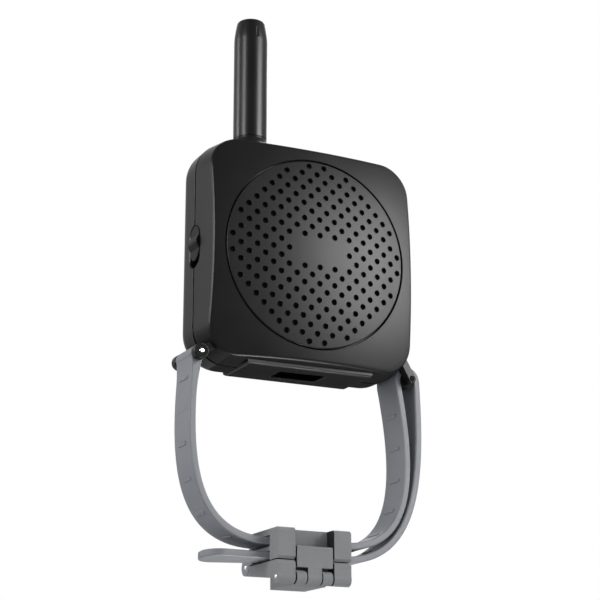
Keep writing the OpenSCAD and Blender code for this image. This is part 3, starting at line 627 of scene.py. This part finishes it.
def outline(inset):
    """Points and outward directions round the case in X and Z, drawn in by inset."""
    points, outs = [], []
    for quarter in range(4):
        c, s = math.cos(quarter * math.pi / 2), math.sin(quarter * math.pi / 2)
        far, straight = (SIDE, TALL - CORNER) if quarter % 2 == 0 else (TALL, SIDE - CORNER)
        run = [((far - inset, t), (1, 0)) for t in np.linspace(-straight, straight, SIDE_STEPS, False)]
        bend = CORNER - inset
        for turn in np.linspace(0, math.pi / 2, CORNER_STEPS, False):
            out = (math.cos(turn), math.sin(turn))
            run.append(((far - CORNER + bend * out[0], straight + bend * out[1]), out))
        points += [(c * p[0] - s * p[1], s * p[0] + c * p[1]) for p, _ in run]
        outs += [(c * o[0] - s * o[1], s * o[0] + c * o[1]) for _, o in run]
    return np.array(points), np.array(outs)


def dome(flat):
    """Depth of the ball-shaped face at points in X and Z."""
    return DOME_Y - np.sqrt(DOME_R ** 2 - np.sum(flat ** 2, axis=1))


def ring(flat, depth):
    """A ring in the frame from points round the middle of the case and their depth."""
    return face_on(flat[:, 0], flat[:, 1] + CASE_Z, np.broadcast_to(depth, len(flat)))


def unit(rows):
    """Rows of vectors, each brought to length one."""
    return rows / np.linalg.norm(rows, axis=1)[:, None]


print("outline:", len(outline(0.0)[0]), "points")

# %% Roll a ball along the front edge
FRONT_EDGE = 0.62
SETTLE_ROUNDS = 20

flat, outs = outline(0.0)
to_wall = np.insert(outs * math.cos(LEAN), 1, -math.sin(LEAN), axis=1)
touch = np.full(len(flat), FRONT_Y)
for _ in range(SETTLE_ROUNDS):
    wall_flat = flat - (math.tan(LEAN) * (SEAM_Y - touch))[:, None] * outs
    centre_flat = wall_flat - FRONT_EDGE * math.cos(LEAN) * outs
    centre_y = DOME_Y - np.sqrt((DOME_R - FRONT_EDGE) ** 2 - np.sum(centre_flat ** 2, axis=1))
    touch = centre_y - FRONT_EDGE * math.sin(LEAN)
ball = face_on(centre_flat[:, 0], centre_flat[:, 1], centre_y)
to_dome = (ball - (0, DOME_Y, 0)) / (DOME_R - FRONT_EDGE)
on_wall, on_face = ball + FRONT_EDGE * to_wall, ball + FRONT_EDGE * to_dome
shared = np.sum(to_wall * to_dome, axis=1)[:, None]
along = unit(on_face - on_wall)
inward = unit(to_dome - shared * to_wall)
past = unit(shared * to_dome - to_wall)
print("front edge: the ball touches the wall at", round(touch.mean(), 2), "mm on average")

# %% [markdown]
# The front moulding is one closed skin: rings from the seam up the wall, over the rolled edge and the dome
# into the grille's well, and back along the inside. A Solidify modifier would give it thickness too, but not
# the ledge in the well.

# %% Skin the front moulding
EDGE_ROUND = 0.1
SEAM_GAP, SEAM_BEVEL = 0.4, 0.06
GRILLE_WELL, WELL_BEVEL, WELL_DEPTH = 30.2, 0.16, 1.65
LEDGE_IN, LEDGE_OUT, LEDGE_T = 29.3, 1.4, 1.2
FACE_STEPS = 8

front_rings = [ring(outline(SEAM_BEVEL)[0], SEAM_Y - SEAM_GAP),
               ring(flat, SEAM_Y - SEAM_GAP - SEAM_BEVEL)]
for edge in (on_wall - EDGE_ROUND * inward, on_wall + EDGE_ROUND * along,
             on_face - EDGE_ROUND * along, on_face + EDGE_ROUND * past):
    front_rings.append(edge + (0, 0, CASE_Z))
edge_flat = front_rings[-1][:, [0, 2]] - (0, CASE_Z)
bearing = np.arctan2(flat[:, 1], flat[:, 0])
round_flat = np.stack([np.cos(bearing), np.sin(bearing)], 1)
well_edge = (GRILLE_WELL + WELL_BEVEL) * round_flat
for t in np.linspace(0, 1, FACE_STEPS + 1)[1:]:
    spread = (1 - t) * edge_flat + t * well_edge
    front_rings.append(ring(spread, dome(spread)))
rim_y = dome(GRILLE_WELL * round_flat[:1])[0]
inner_flat = outline(WALL)[0]
inner_front = outline(WALL + math.tan(LEAN) * (SEAM_Y - touch.mean()))[0]
front_rings += [ring(GRILLE_WELL * round_flat, rim_y + WELL_BEVEL),
                ring(GRILLE_WELL * round_flat, rim_y + WELL_DEPTH),
                ring(LEDGE_IN * round_flat, rim_y + WELL_DEPTH),
                ring(LEDGE_IN * round_flat, rim_y + WELL_DEPTH + LEDGE_T),
                ring((GRILLE_WELL + LEDGE_OUT) * round_flat, rim_y + WELL_DEPTH + LEDGE_T),
                ring(inner_front, dome(inner_front) + WALL),
                ring(inner_flat, SEAM_Y - SEAM_GAP)]
front_mesh = skin(front_rings, closed=True)
print("front moulding:", len(front_rings), "rings")

# %% [markdown]
# The back moulding is a tray with a wide quarter-round rim, so one arc of insets gives its rings. The outside
# of the case is also made as a full block, the tool for what seats on it.

# %% Skin the back moulding
BACK_EDGE, BACK_STEPS = 7.0, 14
BLOCK_FRONT, BLOCK_END, BLOCK_STEPS = 10, 120, 10

back_rings = [ring(inner_flat, BACK_Y - WALL), ring(inner_flat, SEAM_Y + SEAM_GAP),
              ring(outline(SEAM_BEVEL)[0], SEAM_Y + SEAM_GAP), ring(flat, SEAM_Y + SEAM_GAP + SEAM_BEVEL)]
for inset, depth in arc((BACK_EDGE, BACK_Y - BACK_EDGE), BACK_EDGE, 180, 90, BACK_STEPS):
    back_rings.append(ring(outline(inset)[0], depth))
back_mesh = skin(back_rings)
print("back moulding:", len(back_rings), "rings")


def case_block():
    """The outside of the case between face and back as one solid, to cut what seats on it."""
    depths = [(math.tan(LEAN) * BLOCK_FRONT, SEAM_Y - BLOCK_FRONT), (0, SEAM_Y)]
    depths += arc((BACK_EDGE, BACK_Y - BACK_EDGE), BACK_EDGE, 180, BLOCK_END, BLOCK_STEPS)
    return skin([ring(outline(inset)[0], depth) for inset, depth in depths])


# %% [markdown]
# Lugs reach out of the lower corners, one in front of the strap and one behind it. They are moulded with the
# case, so they are joined to it: round discs on the left, where the strap ends on a pin, and slim steep arms
# on the right, which hold the bar that the strap turns round. A hollow in that corner leaves room for the turn.

# %% Add the lugs
LUG_X, LUG_Z, LUG_R = 35.4, 2.4, 2.35
LUG_FRONT, LUG_BACK, LUG_T = -5.65, 6.85, 3.0
LUG_LOW, LUG_HIGH = LUG_FRONT - LUG_T, LUG_BACK + LUG_T
BAR_Z, RELIEF_R = 1.5, 4.8
LUG_EDGE = 0.4
ARM_R, ARM_L, ARM_INSET = 1.4, 11.0, 0.3
LEFT_LEAN, RIGHT_LEAN = 30, 120
BORE_R, BORE_BEVEL, BORE_POINT = 0.68, 0.25, 0.2


def arm(eye, lean, low, high):
    """A bar with round ends that leans from its eye back into the corner of the case."""
    turn = math.radians(lean)
    root = (eye[0] + ARM_L * math.cos(turn), eye[1] + ARM_L * math.sin(turn))
    return pill(eye, root, ARM_R, rounded_rims(low, high, LUG_EDGE), face_on)


def left_lug(low, high):
    """A round cheek for the strap's pin on a thinner arm."""
    eye = (-LUG_X, LUG_Z)
    disc = pill(eye, eye, LUG_R, rounded_rims(low, high, LUG_EDGE), face_on, 20)
    return joined(disc, arm(eye, LEFT_LEAN, low + ARM_INSET, high - ARM_INSET))


def right_lug(low, high):
    """A steep slim arm that holds one end of the strap's bar."""
    return arm((LUG_X, BAR_Z), RIGHT_LEAN, low, high)


def relief():
    """The tool for the hollow that clears the strap on its way round the bar."""
    profile = [(0, LUG_FRONT), (RELIEF_R, LUG_FRONT), (RELIEF_R, LUG_BACK), (0, LUG_BACK)]
    return turned(profile, through(LUG_X, BAR_Z), 64)


def cut_both(tool):
    """Both halves of the case with the tool's shape taken away."""
    return cut(front_mesh, tool), cut(back_mesh, tool)


front_mesh, back_mesh = cut_both(relief())
for lug in (left_lug, right_lug):
    front_mesh = joined(front_mesh, lug(LUG_LOW, LUG_FRONT))
    back_mesh = joined(back_mesh, lug(LUG_BACK, LUG_HIGH))
bore_mouth = BORE_R + 2 * BORE_BEVEL
bore_profile = [(0, LUG_LOW - BORE_POINT), (bore_mouth, LUG_LOW - BORE_BEVEL),
                (BORE_R, LUG_LOW + BORE_BEVEL), (BORE_R, LUG_HIGH - BORE_BEVEL),
                (bore_mouth, LUG_HIGH + BORE_BEVEL), (0, LUG_HIGH + BORE_POINT)]


def bore(x, z):
    """The drill for a pin."""
    return turned(bore_profile, through(x, z), 32)


for x, z in ((-LUG_X, LUG_Z), (LUG_X, BAR_Z)):
    front_mesh, back_mesh = cut_both(bore(x, z))
print("lugs: two on each lower corner")

# %% [markdown]
# The slot of the slide switch, the square hole of the charging port and the wells of four screws go through
# the walls. A Boolean cut suits them all, with tools that run a little past the surface, because faces that
# lie in one plane confuse the cut.

# %% Cut the slot, the port and the screw wells
OVERRUN = 0.5
SLOT_Z, SLOT_HALF, SLOT_R, SLOT_BEVEL = 36.55, 3.25, 3.5, 0.25
PORT_HALF_X, PORT_HALF_Y, PORT_LOW, PORT_TOP = 8.55, 5.05, -1.0, 3.4
SCREW_INSET = 9.5
SCREW_WELL, SCREW_MOUTH, SCREW_LEAD, SCREW_SINK = 2.15, 0.8, 0.3, 2.2

slot_rims = [(-SLOT_BEVEL - OVERRUN, -SIDE - OVERRUN), (0.0, -SIDE + SLOT_BEVEL),
             (0.0, -SIDE + WALL + OVERRUN)]
slot_ends = (SEAM_Y, SLOT_Z - SLOT_HALF), (SEAM_Y, SLOT_Z + SLOT_HALF)
front_mesh, back_mesh = cut_both(pill(*slot_ends, SLOT_R, slot_rims, side_on, 16))

port_sides = [(x * PORT_HALF_X, y * PORT_HALF_Y) for x, y in SQUARE]
front_mesh, back_mesh = cut_both(skin([[(*side, height) for side in port_sides]
                                       for height in (PORT_LOW, PORT_TOP)]))

well_profile = [(0, BACK_Y + OVERRUN), (SCREW_WELL + SCREW_MOUTH, BACK_Y + OVERRUN),
                (SCREW_WELL, BACK_Y - SCREW_LEAD), (SCREW_WELL, BACK_Y - SCREW_SINK),
                (0, BACK_Y - SCREW_SINK)]
wells = []
for x in (SCREW_INSET - SIDE, SIDE - SCREW_INSET):
    for z in (SCREW_INSET - TALL, TALL - SCREW_INSET):
        wells.append(turned(well_profile, through(x, CASE_Z + z), 40))
back_mesh = cut(back_mesh, gathered(wells))
print("openings: slot, port and", len(wells), "screw wells")

# %% [markdown]
# Most of the case is satin, but its lugs are duller, its flat underside is matt and painted lighter for the
# light from the floor below, and the seam's faces are painted black as the shade in the gap. Masks in the
# shader could tell them apart; it is simpler to choose whole faces by where they lie and which way they look.

# %% Finish the two halves
SEAM_NEAR, BOTTOM_RISE = 0.02, 2.5
ON_LUG, ON_SEAM, ON_BOTTOM = 0.99, 0.9, 0.97         # cosines: how squarely the faces look out


def on_lug(normal, spot):
    """True for the flat outer faces of the round lugs on the left."""
    away = math.hypot(spot.x + LUG_X, spot.z - LUG_Z)
    outer = spot.y < LUG_LOW + LUG_EDGE or spot.y > LUG_HIGH - LUG_EDGE
    return abs(normal.y) > ON_LUG and outer and away < 2 * LUG_R


def at_seam(normal, spot):
    """True for the two faces that meet at the seam, which are painted black as the shade in the gap."""
    return abs(normal.y) > ON_SEAM and abs(spot.y - SEAM_Y) < SEAM_GAP + SEAM_NEAR


def underneath(normal, spot):
    """True for the flat bottom of the case, which is matt and painted lighter for the light from the floor
    below.
    """
    return normal.z < -ON_BOTTOM and spot.z < CASE_Z - TALL + BOTTOM_RISE


for name, mesh, node in (("case_front", front_mesh, "front_shell"),
                         ("case_back", back_mesh, "rear_shell")):
    half = piece(name, mesh, case_plastic, "case", [node])
    faced(half, lug_plastic, on_lug)
    # the flat bottom is matt and painted lighter, for the light from the floor
    faced(half, matt_underside_painted_light, underneath)
    # the seam's faces are painted black, as the shade in the gap
    faced(half, painted_shade_black, at_seam)

# %% [markdown]
# ## The grille
# A drilled disc continues the dome of the face, and the narrow gap round it is the fine dark ring. The holes
# stand on a slanted square lattice and leave a bare patch in the middle. They could be painted as black dots,
# but real holes show their walls. Each drill is a little wider at the top, which bevels the hole.

# %% Turn and drill the grille
PLATE_R, PLATE_T, PLATE_EDGE = 29.8, 1.6, 0.3
TOP_RINGS, BACK_RINGS, PLATE_SIDES = 25, 8, 128
HOLE_R, HOLE_BEVEL, HOLE_SIDES = 0.9, 0.05, 20
HOLE_STEP, HOLE_REACH = 2.5456, 28.5
BARE_HALF_W, BARE_HALF_H = 9.0, 4.0
DRILL_PAST = 1.0


def on_dome(radius, depth):
    """Height of a ring that lies under the dome by depth."""
    return DOME_Y - math.sqrt((DOME_R - depth) ** 2 - radius ** 2)


plate_profile = [(r, on_dome(r, 0.0)) for r in np.linspace(0, PLATE_R - PLATE_EDGE, TOP_RINGS)]
plate_profile += arc((PLATE_R - PLATE_EDGE, on_dome(PLATE_R, 0.0) + PLATE_EDGE), PLATE_EDGE, -60, 0, 3)
plate_profile += [(r, on_dome(r, PLATE_T)) for r in np.linspace(PLATE_R, 0, BACK_RINGS)]
plate_mesh = turned(plate_profile, through(0, CASE_Z), PLATE_SIDES)

holes = []
reach = math.ceil(HOLE_REACH / HOLE_STEP)
for i in range(-reach, reach + 1):
    for j in range(-reach, reach + 1):
        x, z = i * HOLE_STEP, j * HOLE_STEP
        bare = abs(x) < BARE_HALF_W and abs(z) < BARE_HALF_H
        if (i + j) % 2 == 0 and math.hypot(x, z) <= HOLE_REACH and not bare:
            holes.append((x, z))
drill = [(HOLE_R + 2 * HOLE_BEVEL, -HOLE_BEVEL), (HOLE_R, HOLE_BEVEL), (HOLE_R, PLATE_T + DRILL_PAST)]


def under_dome(x, z):
    """Sets a turned shape over a hole, with its depth counted from the dome."""
    def place(u, v, depth):
        spot = np.stack([x + u, z + v], 1)
        return ring(spot, dome(spot) + depth)
    return place


drills = [turned(drill, under_dome(x, z), HOLE_SIDES) for x, z in holes]
plate_mesh = cut(plate_mesh, gathered(drills))
print("grille:", len(holes), "holes")
plate_mesh = piece("grille", plate_mesh, grille_plastic, "case", ["grille_plate"]).data

# %% [markdown]
# Cutting leaves long thin faces between the holes, and their shading would show them. The face is part of a
# ball, so the true normal at each of its points is known: it leads away from the middle of the ball.

# %% Shade the grille as a ball
FACE_MATCH = 0.985       # the cosine that tells the dome's own faces from bevels and bores

middle = Vector((0, DOME_Y, CASE_Z)) * MM
normals = []
for face in plate_mesh.polygons:
    out = (face.center - middle).normalized()
    smooth = face.normal.dot(out) > FACE_MATCH
    for loop in face.loop_indices:
        point = plate_mesh.vertices[plate_mesh.loops[loop].vertex_index].co
        normals.append((point - middle).normalized() if smooth else (0.0, 0.0, 0.0))
plate_mesh.normals_split_custom_set(normals)
print("grille:", len(normals), "normals set")

# %% [markdown]
# ## The antenna
# The stub is a rubber-like rod that screws onto a connector. It keeps its width for most of its length,
# draws in towards the tip, and ends in a small rounded rim. A shallow groove near the tip shows where the
# mould was fed. It is turned from a profile, because stacked cylinders would have no soft edges.

# %% Turn the antenna
ANTENNA_X = -16.8
ROD_R, TIP_R = 5.3, 4.5
FOOT_Z, TIP_Z = 74.45, 114.85
TAPER, TAPER_BEND = 7.0, 1.6
FOOT_EDGE, TIP_EDGE = 0.25, 0.9
BORE_UP, ROD_BORE = 12.6, 3.3
GROOVE_R, GROOVE_DEEP, GROOVE_L, GROOVE_PAST = 0.72, 0.45, 6.7, 1


def up_rod(u, v, height):
    """Sets a turned shape on the axis of the antenna."""
    return np.stack([u + ANTENNA_X, v, height], 1)


rod_profile = [(0, FOOT_Z + BORE_UP), (ROD_BORE, FOOT_Z + BORE_UP), (ROD_BORE, FOOT_Z)]
rod_profile += arc((ROD_R - FOOT_EDGE, FOOT_Z + FOOT_EDGE), FOOT_EDGE, -90, 0, 4)
for t in np.linspace(0, 1, 9):
    height = TIP_Z - TAPER + t * (TAPER - TIP_EDGE)
    rod_profile.append((ROD_R - (ROD_R - TIP_R) * t ** TAPER_BEND, height))
rod_profile += arc((TIP_R - TIP_EDGE, TIP_Z - TIP_EDGE), TIP_EDGE, 0, 90, 6)[1:]
rod_profile.append((0, TIP_Z))
rod_mesh = turned(rod_profile, up_rod)

groove_y = -ROD_R - GROOVE_R + GROOVE_DEEP
groove_profile = arc((0, TIP_Z - GROOVE_L + GROOVE_R), GROOVE_R, -90, 0, 6)
groove_profile += [(GROOVE_R, TIP_Z + GROOVE_PAST), (0, TIP_Z + GROOVE_PAST)]
rod_mesh = cut(rod_mesh, turned(groove_profile, lambda u, v, h: up_rod(u, v + groove_y, h), 32))
piece("antenna_rod", rod_mesh, antenna_plastic, "antenna", ["antenna"])

# %% [markdown]
# Below the rod sits a flared collar, and the thin gap between them is the dark line there. The top of the
# case slopes, so the collar is turned too long and its foot is cut to the case.

# %% Turn the collar
COLLAR_LOW, COLLAR_HIGH, COLLAR_R = 71.4, 74.4, 7.0
COLLAR_RIM, RIM_ROUND, COLLAR_SINK = 0.6, 0.15, 1.2
FLARE_START, FLARE_STEPS = -84, 10

collar_foot = COLLAR_LOW - COLLAR_SINK
collar_profile = [(ROD_BORE, COLLAR_HIGH), (ROD_BORE, collar_foot), (COLLAR_R, collar_foot)]
collar_profile.append((COLLAR_R, COLLAR_LOW + COLLAR_RIM - RIM_ROUND))
flare_w, flare_h = COLLAR_R - ROD_R, COLLAR_HIGH - COLLAR_LOW - COLLAR_RIM
for t in np.radians(np.linspace(FLARE_START, 0, FLARE_STEPS)):
    collar_profile.append((COLLAR_R - flare_w * math.cos(t), COLLAR_HIGH + flare_h * math.sin(t)))
collar_mesh = cut(turned(collar_profile, up_rod, closed=True), case_block())
piece("antenna_collar_flare", collar_mesh, antenna_plastic, "case", ["antenna_collar"])

# %% [markdown]
# ## The switch knob, the foot and the fasteners
# The CAD already draws these crisp shapes, so each is a copy of its solid with the sharp edges rounded over.
# A real mould can't hold a perfectly sharp edge, and the round catches light. The foot is dull underneath, with
# its colour painted lighter for the light from the floor, and the walls of the charging port in it are painted
# black as the shade in the recess.

# %% Soften the small parts
FOOT_CHAMFER, CUP_WALL = 0.25, 0.9
SOLE_Z, ON_SOLE, ON_CUP_FLOOR = 0.02, 0.95, 0.5


def in_cup(normal, spot):
    """True for the walls of the charging port, which are painted black as the shade in the recess."""
    inside = abs(spot.x) < PORT_HALF_X - CUP_WALL and abs(spot.y) < PORT_HALF_Y - CUP_WALL
    return inside and normal.z > -ON_CUP_FLOOR and spot.z > FOOT_CHAMFER


piece("knob", softened("switch_knob", 0.22), knob_plastic, "knob", ["switch_knob"])
foot_mesh = softened("base_pad", 0.08, chamfer=FOOT_CHAMFER, chosen=lambda spot: spot.z < SOLE_Z)
foot = piece("foot", foot_mesh, case_plastic, "case", ["base_pad"])
# the sole is matt and painted lighter, for the light from the floor
faced(foot, matt_underside_painted_light, lambda normal, spot: normal.z < -ON_SOLE)
# the port's walls are painted black, as the shade inside it
faced(foot, painted_shade_black, in_cup)
# piece, solid, radius and steps of its edges, finish, body
for name, node, edge, steps, material, body in (
        ("bar", "strap_bar", 0.15, 3, lug_plastic, "case"),
        ("socket", "usb_socket", 0.08, 2, plated_steel, "case"),
        ("screws", "case_screws", 0.12, 2, screw_steel, "case"),
        ("pin_of_strap", "strap_pin", 0.2, 3, pin_steel, "case"),
        ("pin_of_jaw", "jaw_pin", 0.2, 3, pin_steel, "case"),
        ("pin_of_latch", "latch_pin", 0.2, 3, pin_steel, "jaw")):
    piece(name, softened(node, edge, steps), material, body, [node])

# %% [markdown]
# ## The strap
# One strip of silicone starts at an eye on the left pin, runs down and through the buckle, climbs to the bar
# on the right, turns round it and comes back down as a second layer to the clamp. A curve with a bevel would
# twist, so the strip is a rounded rectangle swept along its route, with the same two sides all the way.
# Its route has cubic curves for the free spans, an arc round the bar and straight lines in the buckle, in
# even steps that are eased where they meet.

# %% Lay out the strap's route
UPPER_Z, LOWER_Z, BUCKLE_HALF = -51.4, -55.6, 11.9
STRAP_MID, STRAP_HALF_W, STRAP_HALF_T, STRAP_EDGE = 0.6, 6.0, 1.05, 0.45
TAIL_TIP = (-31.3, -55.9)
BAR_TURN, ROUTE_STEP = 3.45, 0.8
TIP_TURN, TIP_STEPS = 84, 22


def curve(handles, steps=120):
    """Points on a cubic curve, without its last point."""
    t = np.linspace(0, 1, steps, endpoint=False)[:, None]
    a, b, c, d = (np.array(handle, float) for handle in handles)
    return (1 - t) ** 3 * a + 3 * (1 - t) ** 2 * t * b + 3 * (1 - t) * t ** 2 * c + t ** 3 * d


route = np.concatenate([
    curve([(-35.8, 1.8), (-38.2, -28.27), (-36.8, -51.3), (-BUCKLE_HALF, UPPER_Z)]),
    [(-BUCKLE_HALF, UPPER_Z)],
    curve([(BUCKLE_HALF, UPPER_Z), (38.9, -52.4), (37.1, -24.16), (LUG_X - BAR_TURN, BAR_Z)]),
    arc((LUG_X, BAR_Z), BAR_TURN, 180, 0, 24),
    curve([(LUG_X + BAR_TURN, BAR_Z), (40.1, -24.16), (40.5, -55.6), (BUCKLE_HALF, LOWER_Z)])[1:],
    [(BUCKLE_HALF, LOWER_Z), (-BUCKLE_HALF, LOWER_Z), TAIL_TIP]])
run = np.concatenate([[0], np.cumsum(np.linalg.norm(np.diff(route, axis=0), axis=1))])
ways = np.linspace(0, run[-1] - STRAP_HALF_W, int(run[-1] / ROUTE_STEP) + 1)
tip_turn = np.radians(np.linspace(0, TIP_TURN, TIP_STEPS)[1:])
ways = np.concatenate([ways, run[-1] - STRAP_HALF_W * (1 - np.sin(tip_turn))])
line = np.stack([np.interp(ways, run, route[:, k]) for k in (0, 1)], 1)
soft = np.array([1, 4, 6, 4, 1]) / 16
eased = np.pad(line, ((2, 2), (0, 0)), mode="reflect", reflect_type="odd")
line = np.stack([np.convolve(eased[:, k], soft, "valid") for k in (0, 1)], 1)
ahead = unit(np.gradient(line, axis=0))
across = np.stack([-ahead[:, 1], ahead[:, 0]], 1)
print("strap:", round(run[-1], 1), "mm long")

# %% [markdown]
# The section swells towards the eye, which is a round boss on the pin, and the free end is rounded and rolled
# a little. A Curve modifier could bend a straight strip, but it can't change the section along the way.

# %% Sweep the strap
FLARE_L, FLARE_T = 13.0, 1.2
BULGE_L, BULGE_T = 7.0, 0.64
TAIL_L, TAIL_ROLL, TAIL_THIN = 19.4, 4.5, 0.8
EYE_R, EYE_EDGE = 2.3, 0.45


def section(half_w, inner, outer):
    """A rounded rectangle: across the strap and through it."""
    edge = min(STRAP_EDGE, 0.9 * half_w, 0.95 * inner, 0.95 * outer)
    points = []
    for y, h, start in ((1, 1, 0), (-1, 1, 90), (-1, -1, 180), (1, -1, 270)):
        depth = inner if h > 0 else outer
        points += arc((y * (half_w - edge), h * (depth - edge)), edge, start, start + 90, 5)
    return np.array(points)


strap_rings = []
for at, centre, side in zip(ways, line, across):
    flare = FLARE_T * max(0.0, 1 - at / FLARE_L) ** 2
    bulge = BULGE_T * max(0.0, 1 - at / BULGE_L) ** 2
    left = run[-1] - at
    half_w = math.sqrt(STRAP_HALF_W ** 2 - max(0.0, STRAP_HALF_W - left) ** 2)
    thin = STRAP_EDGE - math.sqrt(STRAP_EDGE ** 2 - max(0.0, STRAP_EDGE - left) ** 2)
    half_t = STRAP_HALF_T - TAIL_THIN * thin
    shape = section(half_w, half_t + flare, half_t + bulge)
    roll = TAIL_ROLL * max(0.0, 1 - left / TAIL_L)
    shape[:, 1] += math.tan(math.radians(roll)) * shape[:, 0]
    strap_rings.append(np.stack([centre[0] + side[0] * shape[:, 1], shape[:, 0] + STRAP_MID,
                                 centre[1] + side[1] * shape[:, 1]], 1))
strap_mesh = skin(strap_rings)
eye_at = (-LUG_X, LUG_Z)
eye_rims = rounded_rims(STRAP_MID - STRAP_HALF_W, STRAP_MID + STRAP_HALF_W, EYE_EDGE)
strap_mesh = joined(strap_mesh, pill(eye_at, eye_at, EYE_R, eye_rims, face_on, 20))
print("strap:", len(strap_rings), "rings")

# %% [markdown]
# Small raised bars at an even pitch keep the strap from slipping through the fingers. They could be bumps in
# the finish, but they show in the outline, so they are joined on, outside only as proud as the frame allows.

# %% Raise the bars on the strap
TAB_PITCH, TAB_FIRST = 10.1, 5.98
TAB_HALF, TAB_R, TAB_ROOT = 2.4, 0.65, 0.4
TAB_PROUD, TAB_LOW = 0.28, 0.07
TAB_CLEAR = 2


def tab(k, face):
    """A raised bar on one face of the strap, at a step of its line."""
    def on_strap(u, v, depth):
        """Sets a flat shape on this face."""
        spot = line[k] + np.outer(v, ahead[k]) + np.outer(face * (STRAP_HALF_T + depth), across[k])
        return np.stack([spot[:, 0], u + STRAP_MID, spot[:, 1]], 1)
    outside = face * across[k, 0] * line[k, 0] > 0
    room = abs(cad_box[int(line[k, 0] > 0)][0]) / MM - abs(line[k, 0]) - STRAP_HALF_T
    proud = min(TAB_PROUD, max(TAB_LOW, room)) if outside else TAB_PROUD
    rims = [(0, -TAB_ROOT), (0, proud / 2), (proud / 2, proud)]
    return pill((-TAB_HALF, 0), (TAB_HALF, 0), TAB_R, rims, on_strap, 8)


tabs = []
for at in np.arange(TAB_FIRST, run[-1] - TAIL_L - 2 * BUCKLE_HALF, TAB_PITCH):
    k = int(np.argmin(np.abs(ways - at)))
    if abs(line[k, 0]) >= BUCKLE_HALF + TAB_CLEAR and line[k, 1] <= LUG_Z - TAB_CLEAR:
        tabs += [tab(k, 1), tab(k, -1)]
strap_mesh = joined(strap_mesh, gathered(tabs))
strap_mesh = cut(strap_mesh, bore(-LUG_X, LUG_Z))
piece("strap_band", strap_mesh, strap_silicone, "case", ["strap"], crisp=40)
print("strap:", len(tabs), "raised bars")

# %% [markdown]
# ## The buckle
# The buckle is a frame that the strap's two layers pass through, a hinged jaw below that clamps the outer
# layer, and a latch on the jaw that hooks over a ledge of the frame. The CAD has all its forms, so the copies
# only get fine rounded edges, a wider chamfer where frame and jaw meet, and a darker colour painted in the gaps
# as the shade that falls there.

# %% Soften the buckle
BUCKLE_FRONT, SPLIT_Z = -11.5, -57.2
FRONT_NEAR, SPLIT_NEAR, GAP_NEAR = 0.1, 0.25, 0.3
IN_GAP = 0.95
LATCH_ROOM, LATCH_BACK = 7.0, -6.0
BUCKLE_EDGE, BUCKLE_CHAMFER = 0.2, 0.8


def at_split(spot):
    """True for points of the front edges where the frame and the jaw meet."""
    return spot.y < BUCKLE_FRONT + FRONT_NEAR and abs(spot.z - SPLIT_Z) < SPLIT_NEAR


frame_mesh = softened("buckle_frame", BUCKLE_EDGE, chamfer=BUCKLE_CHAMFER, chosen=at_split)
jaw_mesh = softened("buckle_jaw", BUCKLE_EDGE, chamfer=BUCKLE_CHAMFER, chosen=at_split)
latch_mesh = softened("buckle_latch", BUCKLE_EDGE)


def in_gap(normal, spot):
    """True for the faces in the narrow gaps and beside the latch, which are painted dark as the shade that
    falls there.
    """
    beside = abs(normal.x) > IN_GAP and abs(spot.x) < LATCH_ROOM and spot.y < LATCH_BACK
    between = abs(normal.z) > IN_GAP and abs(spot.z - SPLIT_Z) < GAP_NEAR
    return beside or between


for name, mesh, body, node in (("clamp_frame", frame_mesh, "case", "buckle_frame"),
                               ("clamp_jaw", jaw_mesh, "jaw", "buckle_jaw"),
                               ("clamp_latch", latch_mesh, "latch", "buckle_latch")):
    # the faces in the gaps get painted shade
    faced(piece(name, mesh, buckle_plastic, body, [node]), gap_painted_shade, in_gap)

# %% [markdown]
# ## Inside the case
# The driver, the board and the battery keep their CAD shapes, which are right as they are, and get the
# finishes above.

# %% Finish the inner parts
inner = {seal_rubber: ["shell_seal", "speaker_gasket", "speaker_surround"],
         speaker_cloth: ["dust_mesh", "speaker_spider"],
         frame_steel: ["speaker_frame"],
         cone_paper: ["speaker_cone", "dust_cap"],
         copper: ["voice_coil"],
         plated_steel: ["magnet_front_plate", "magnet_yoke"],
         ferrite: ["speaker_magnet"],
         board_laminate: ["circuit_board"],
         switch_plastic: ["slide_switch"],
         foam: ["battery_pad"],
         battery_foil: ["battery_pack"],
         brass: ["antenna_connector"]}
for material, names in inner.items():
    for name in names:
        solids[name].data.materials.clear()
        solids[name].data.materials.append(material)
print("inside:", sum(len(names) for names in inner.values()), "solids finished")
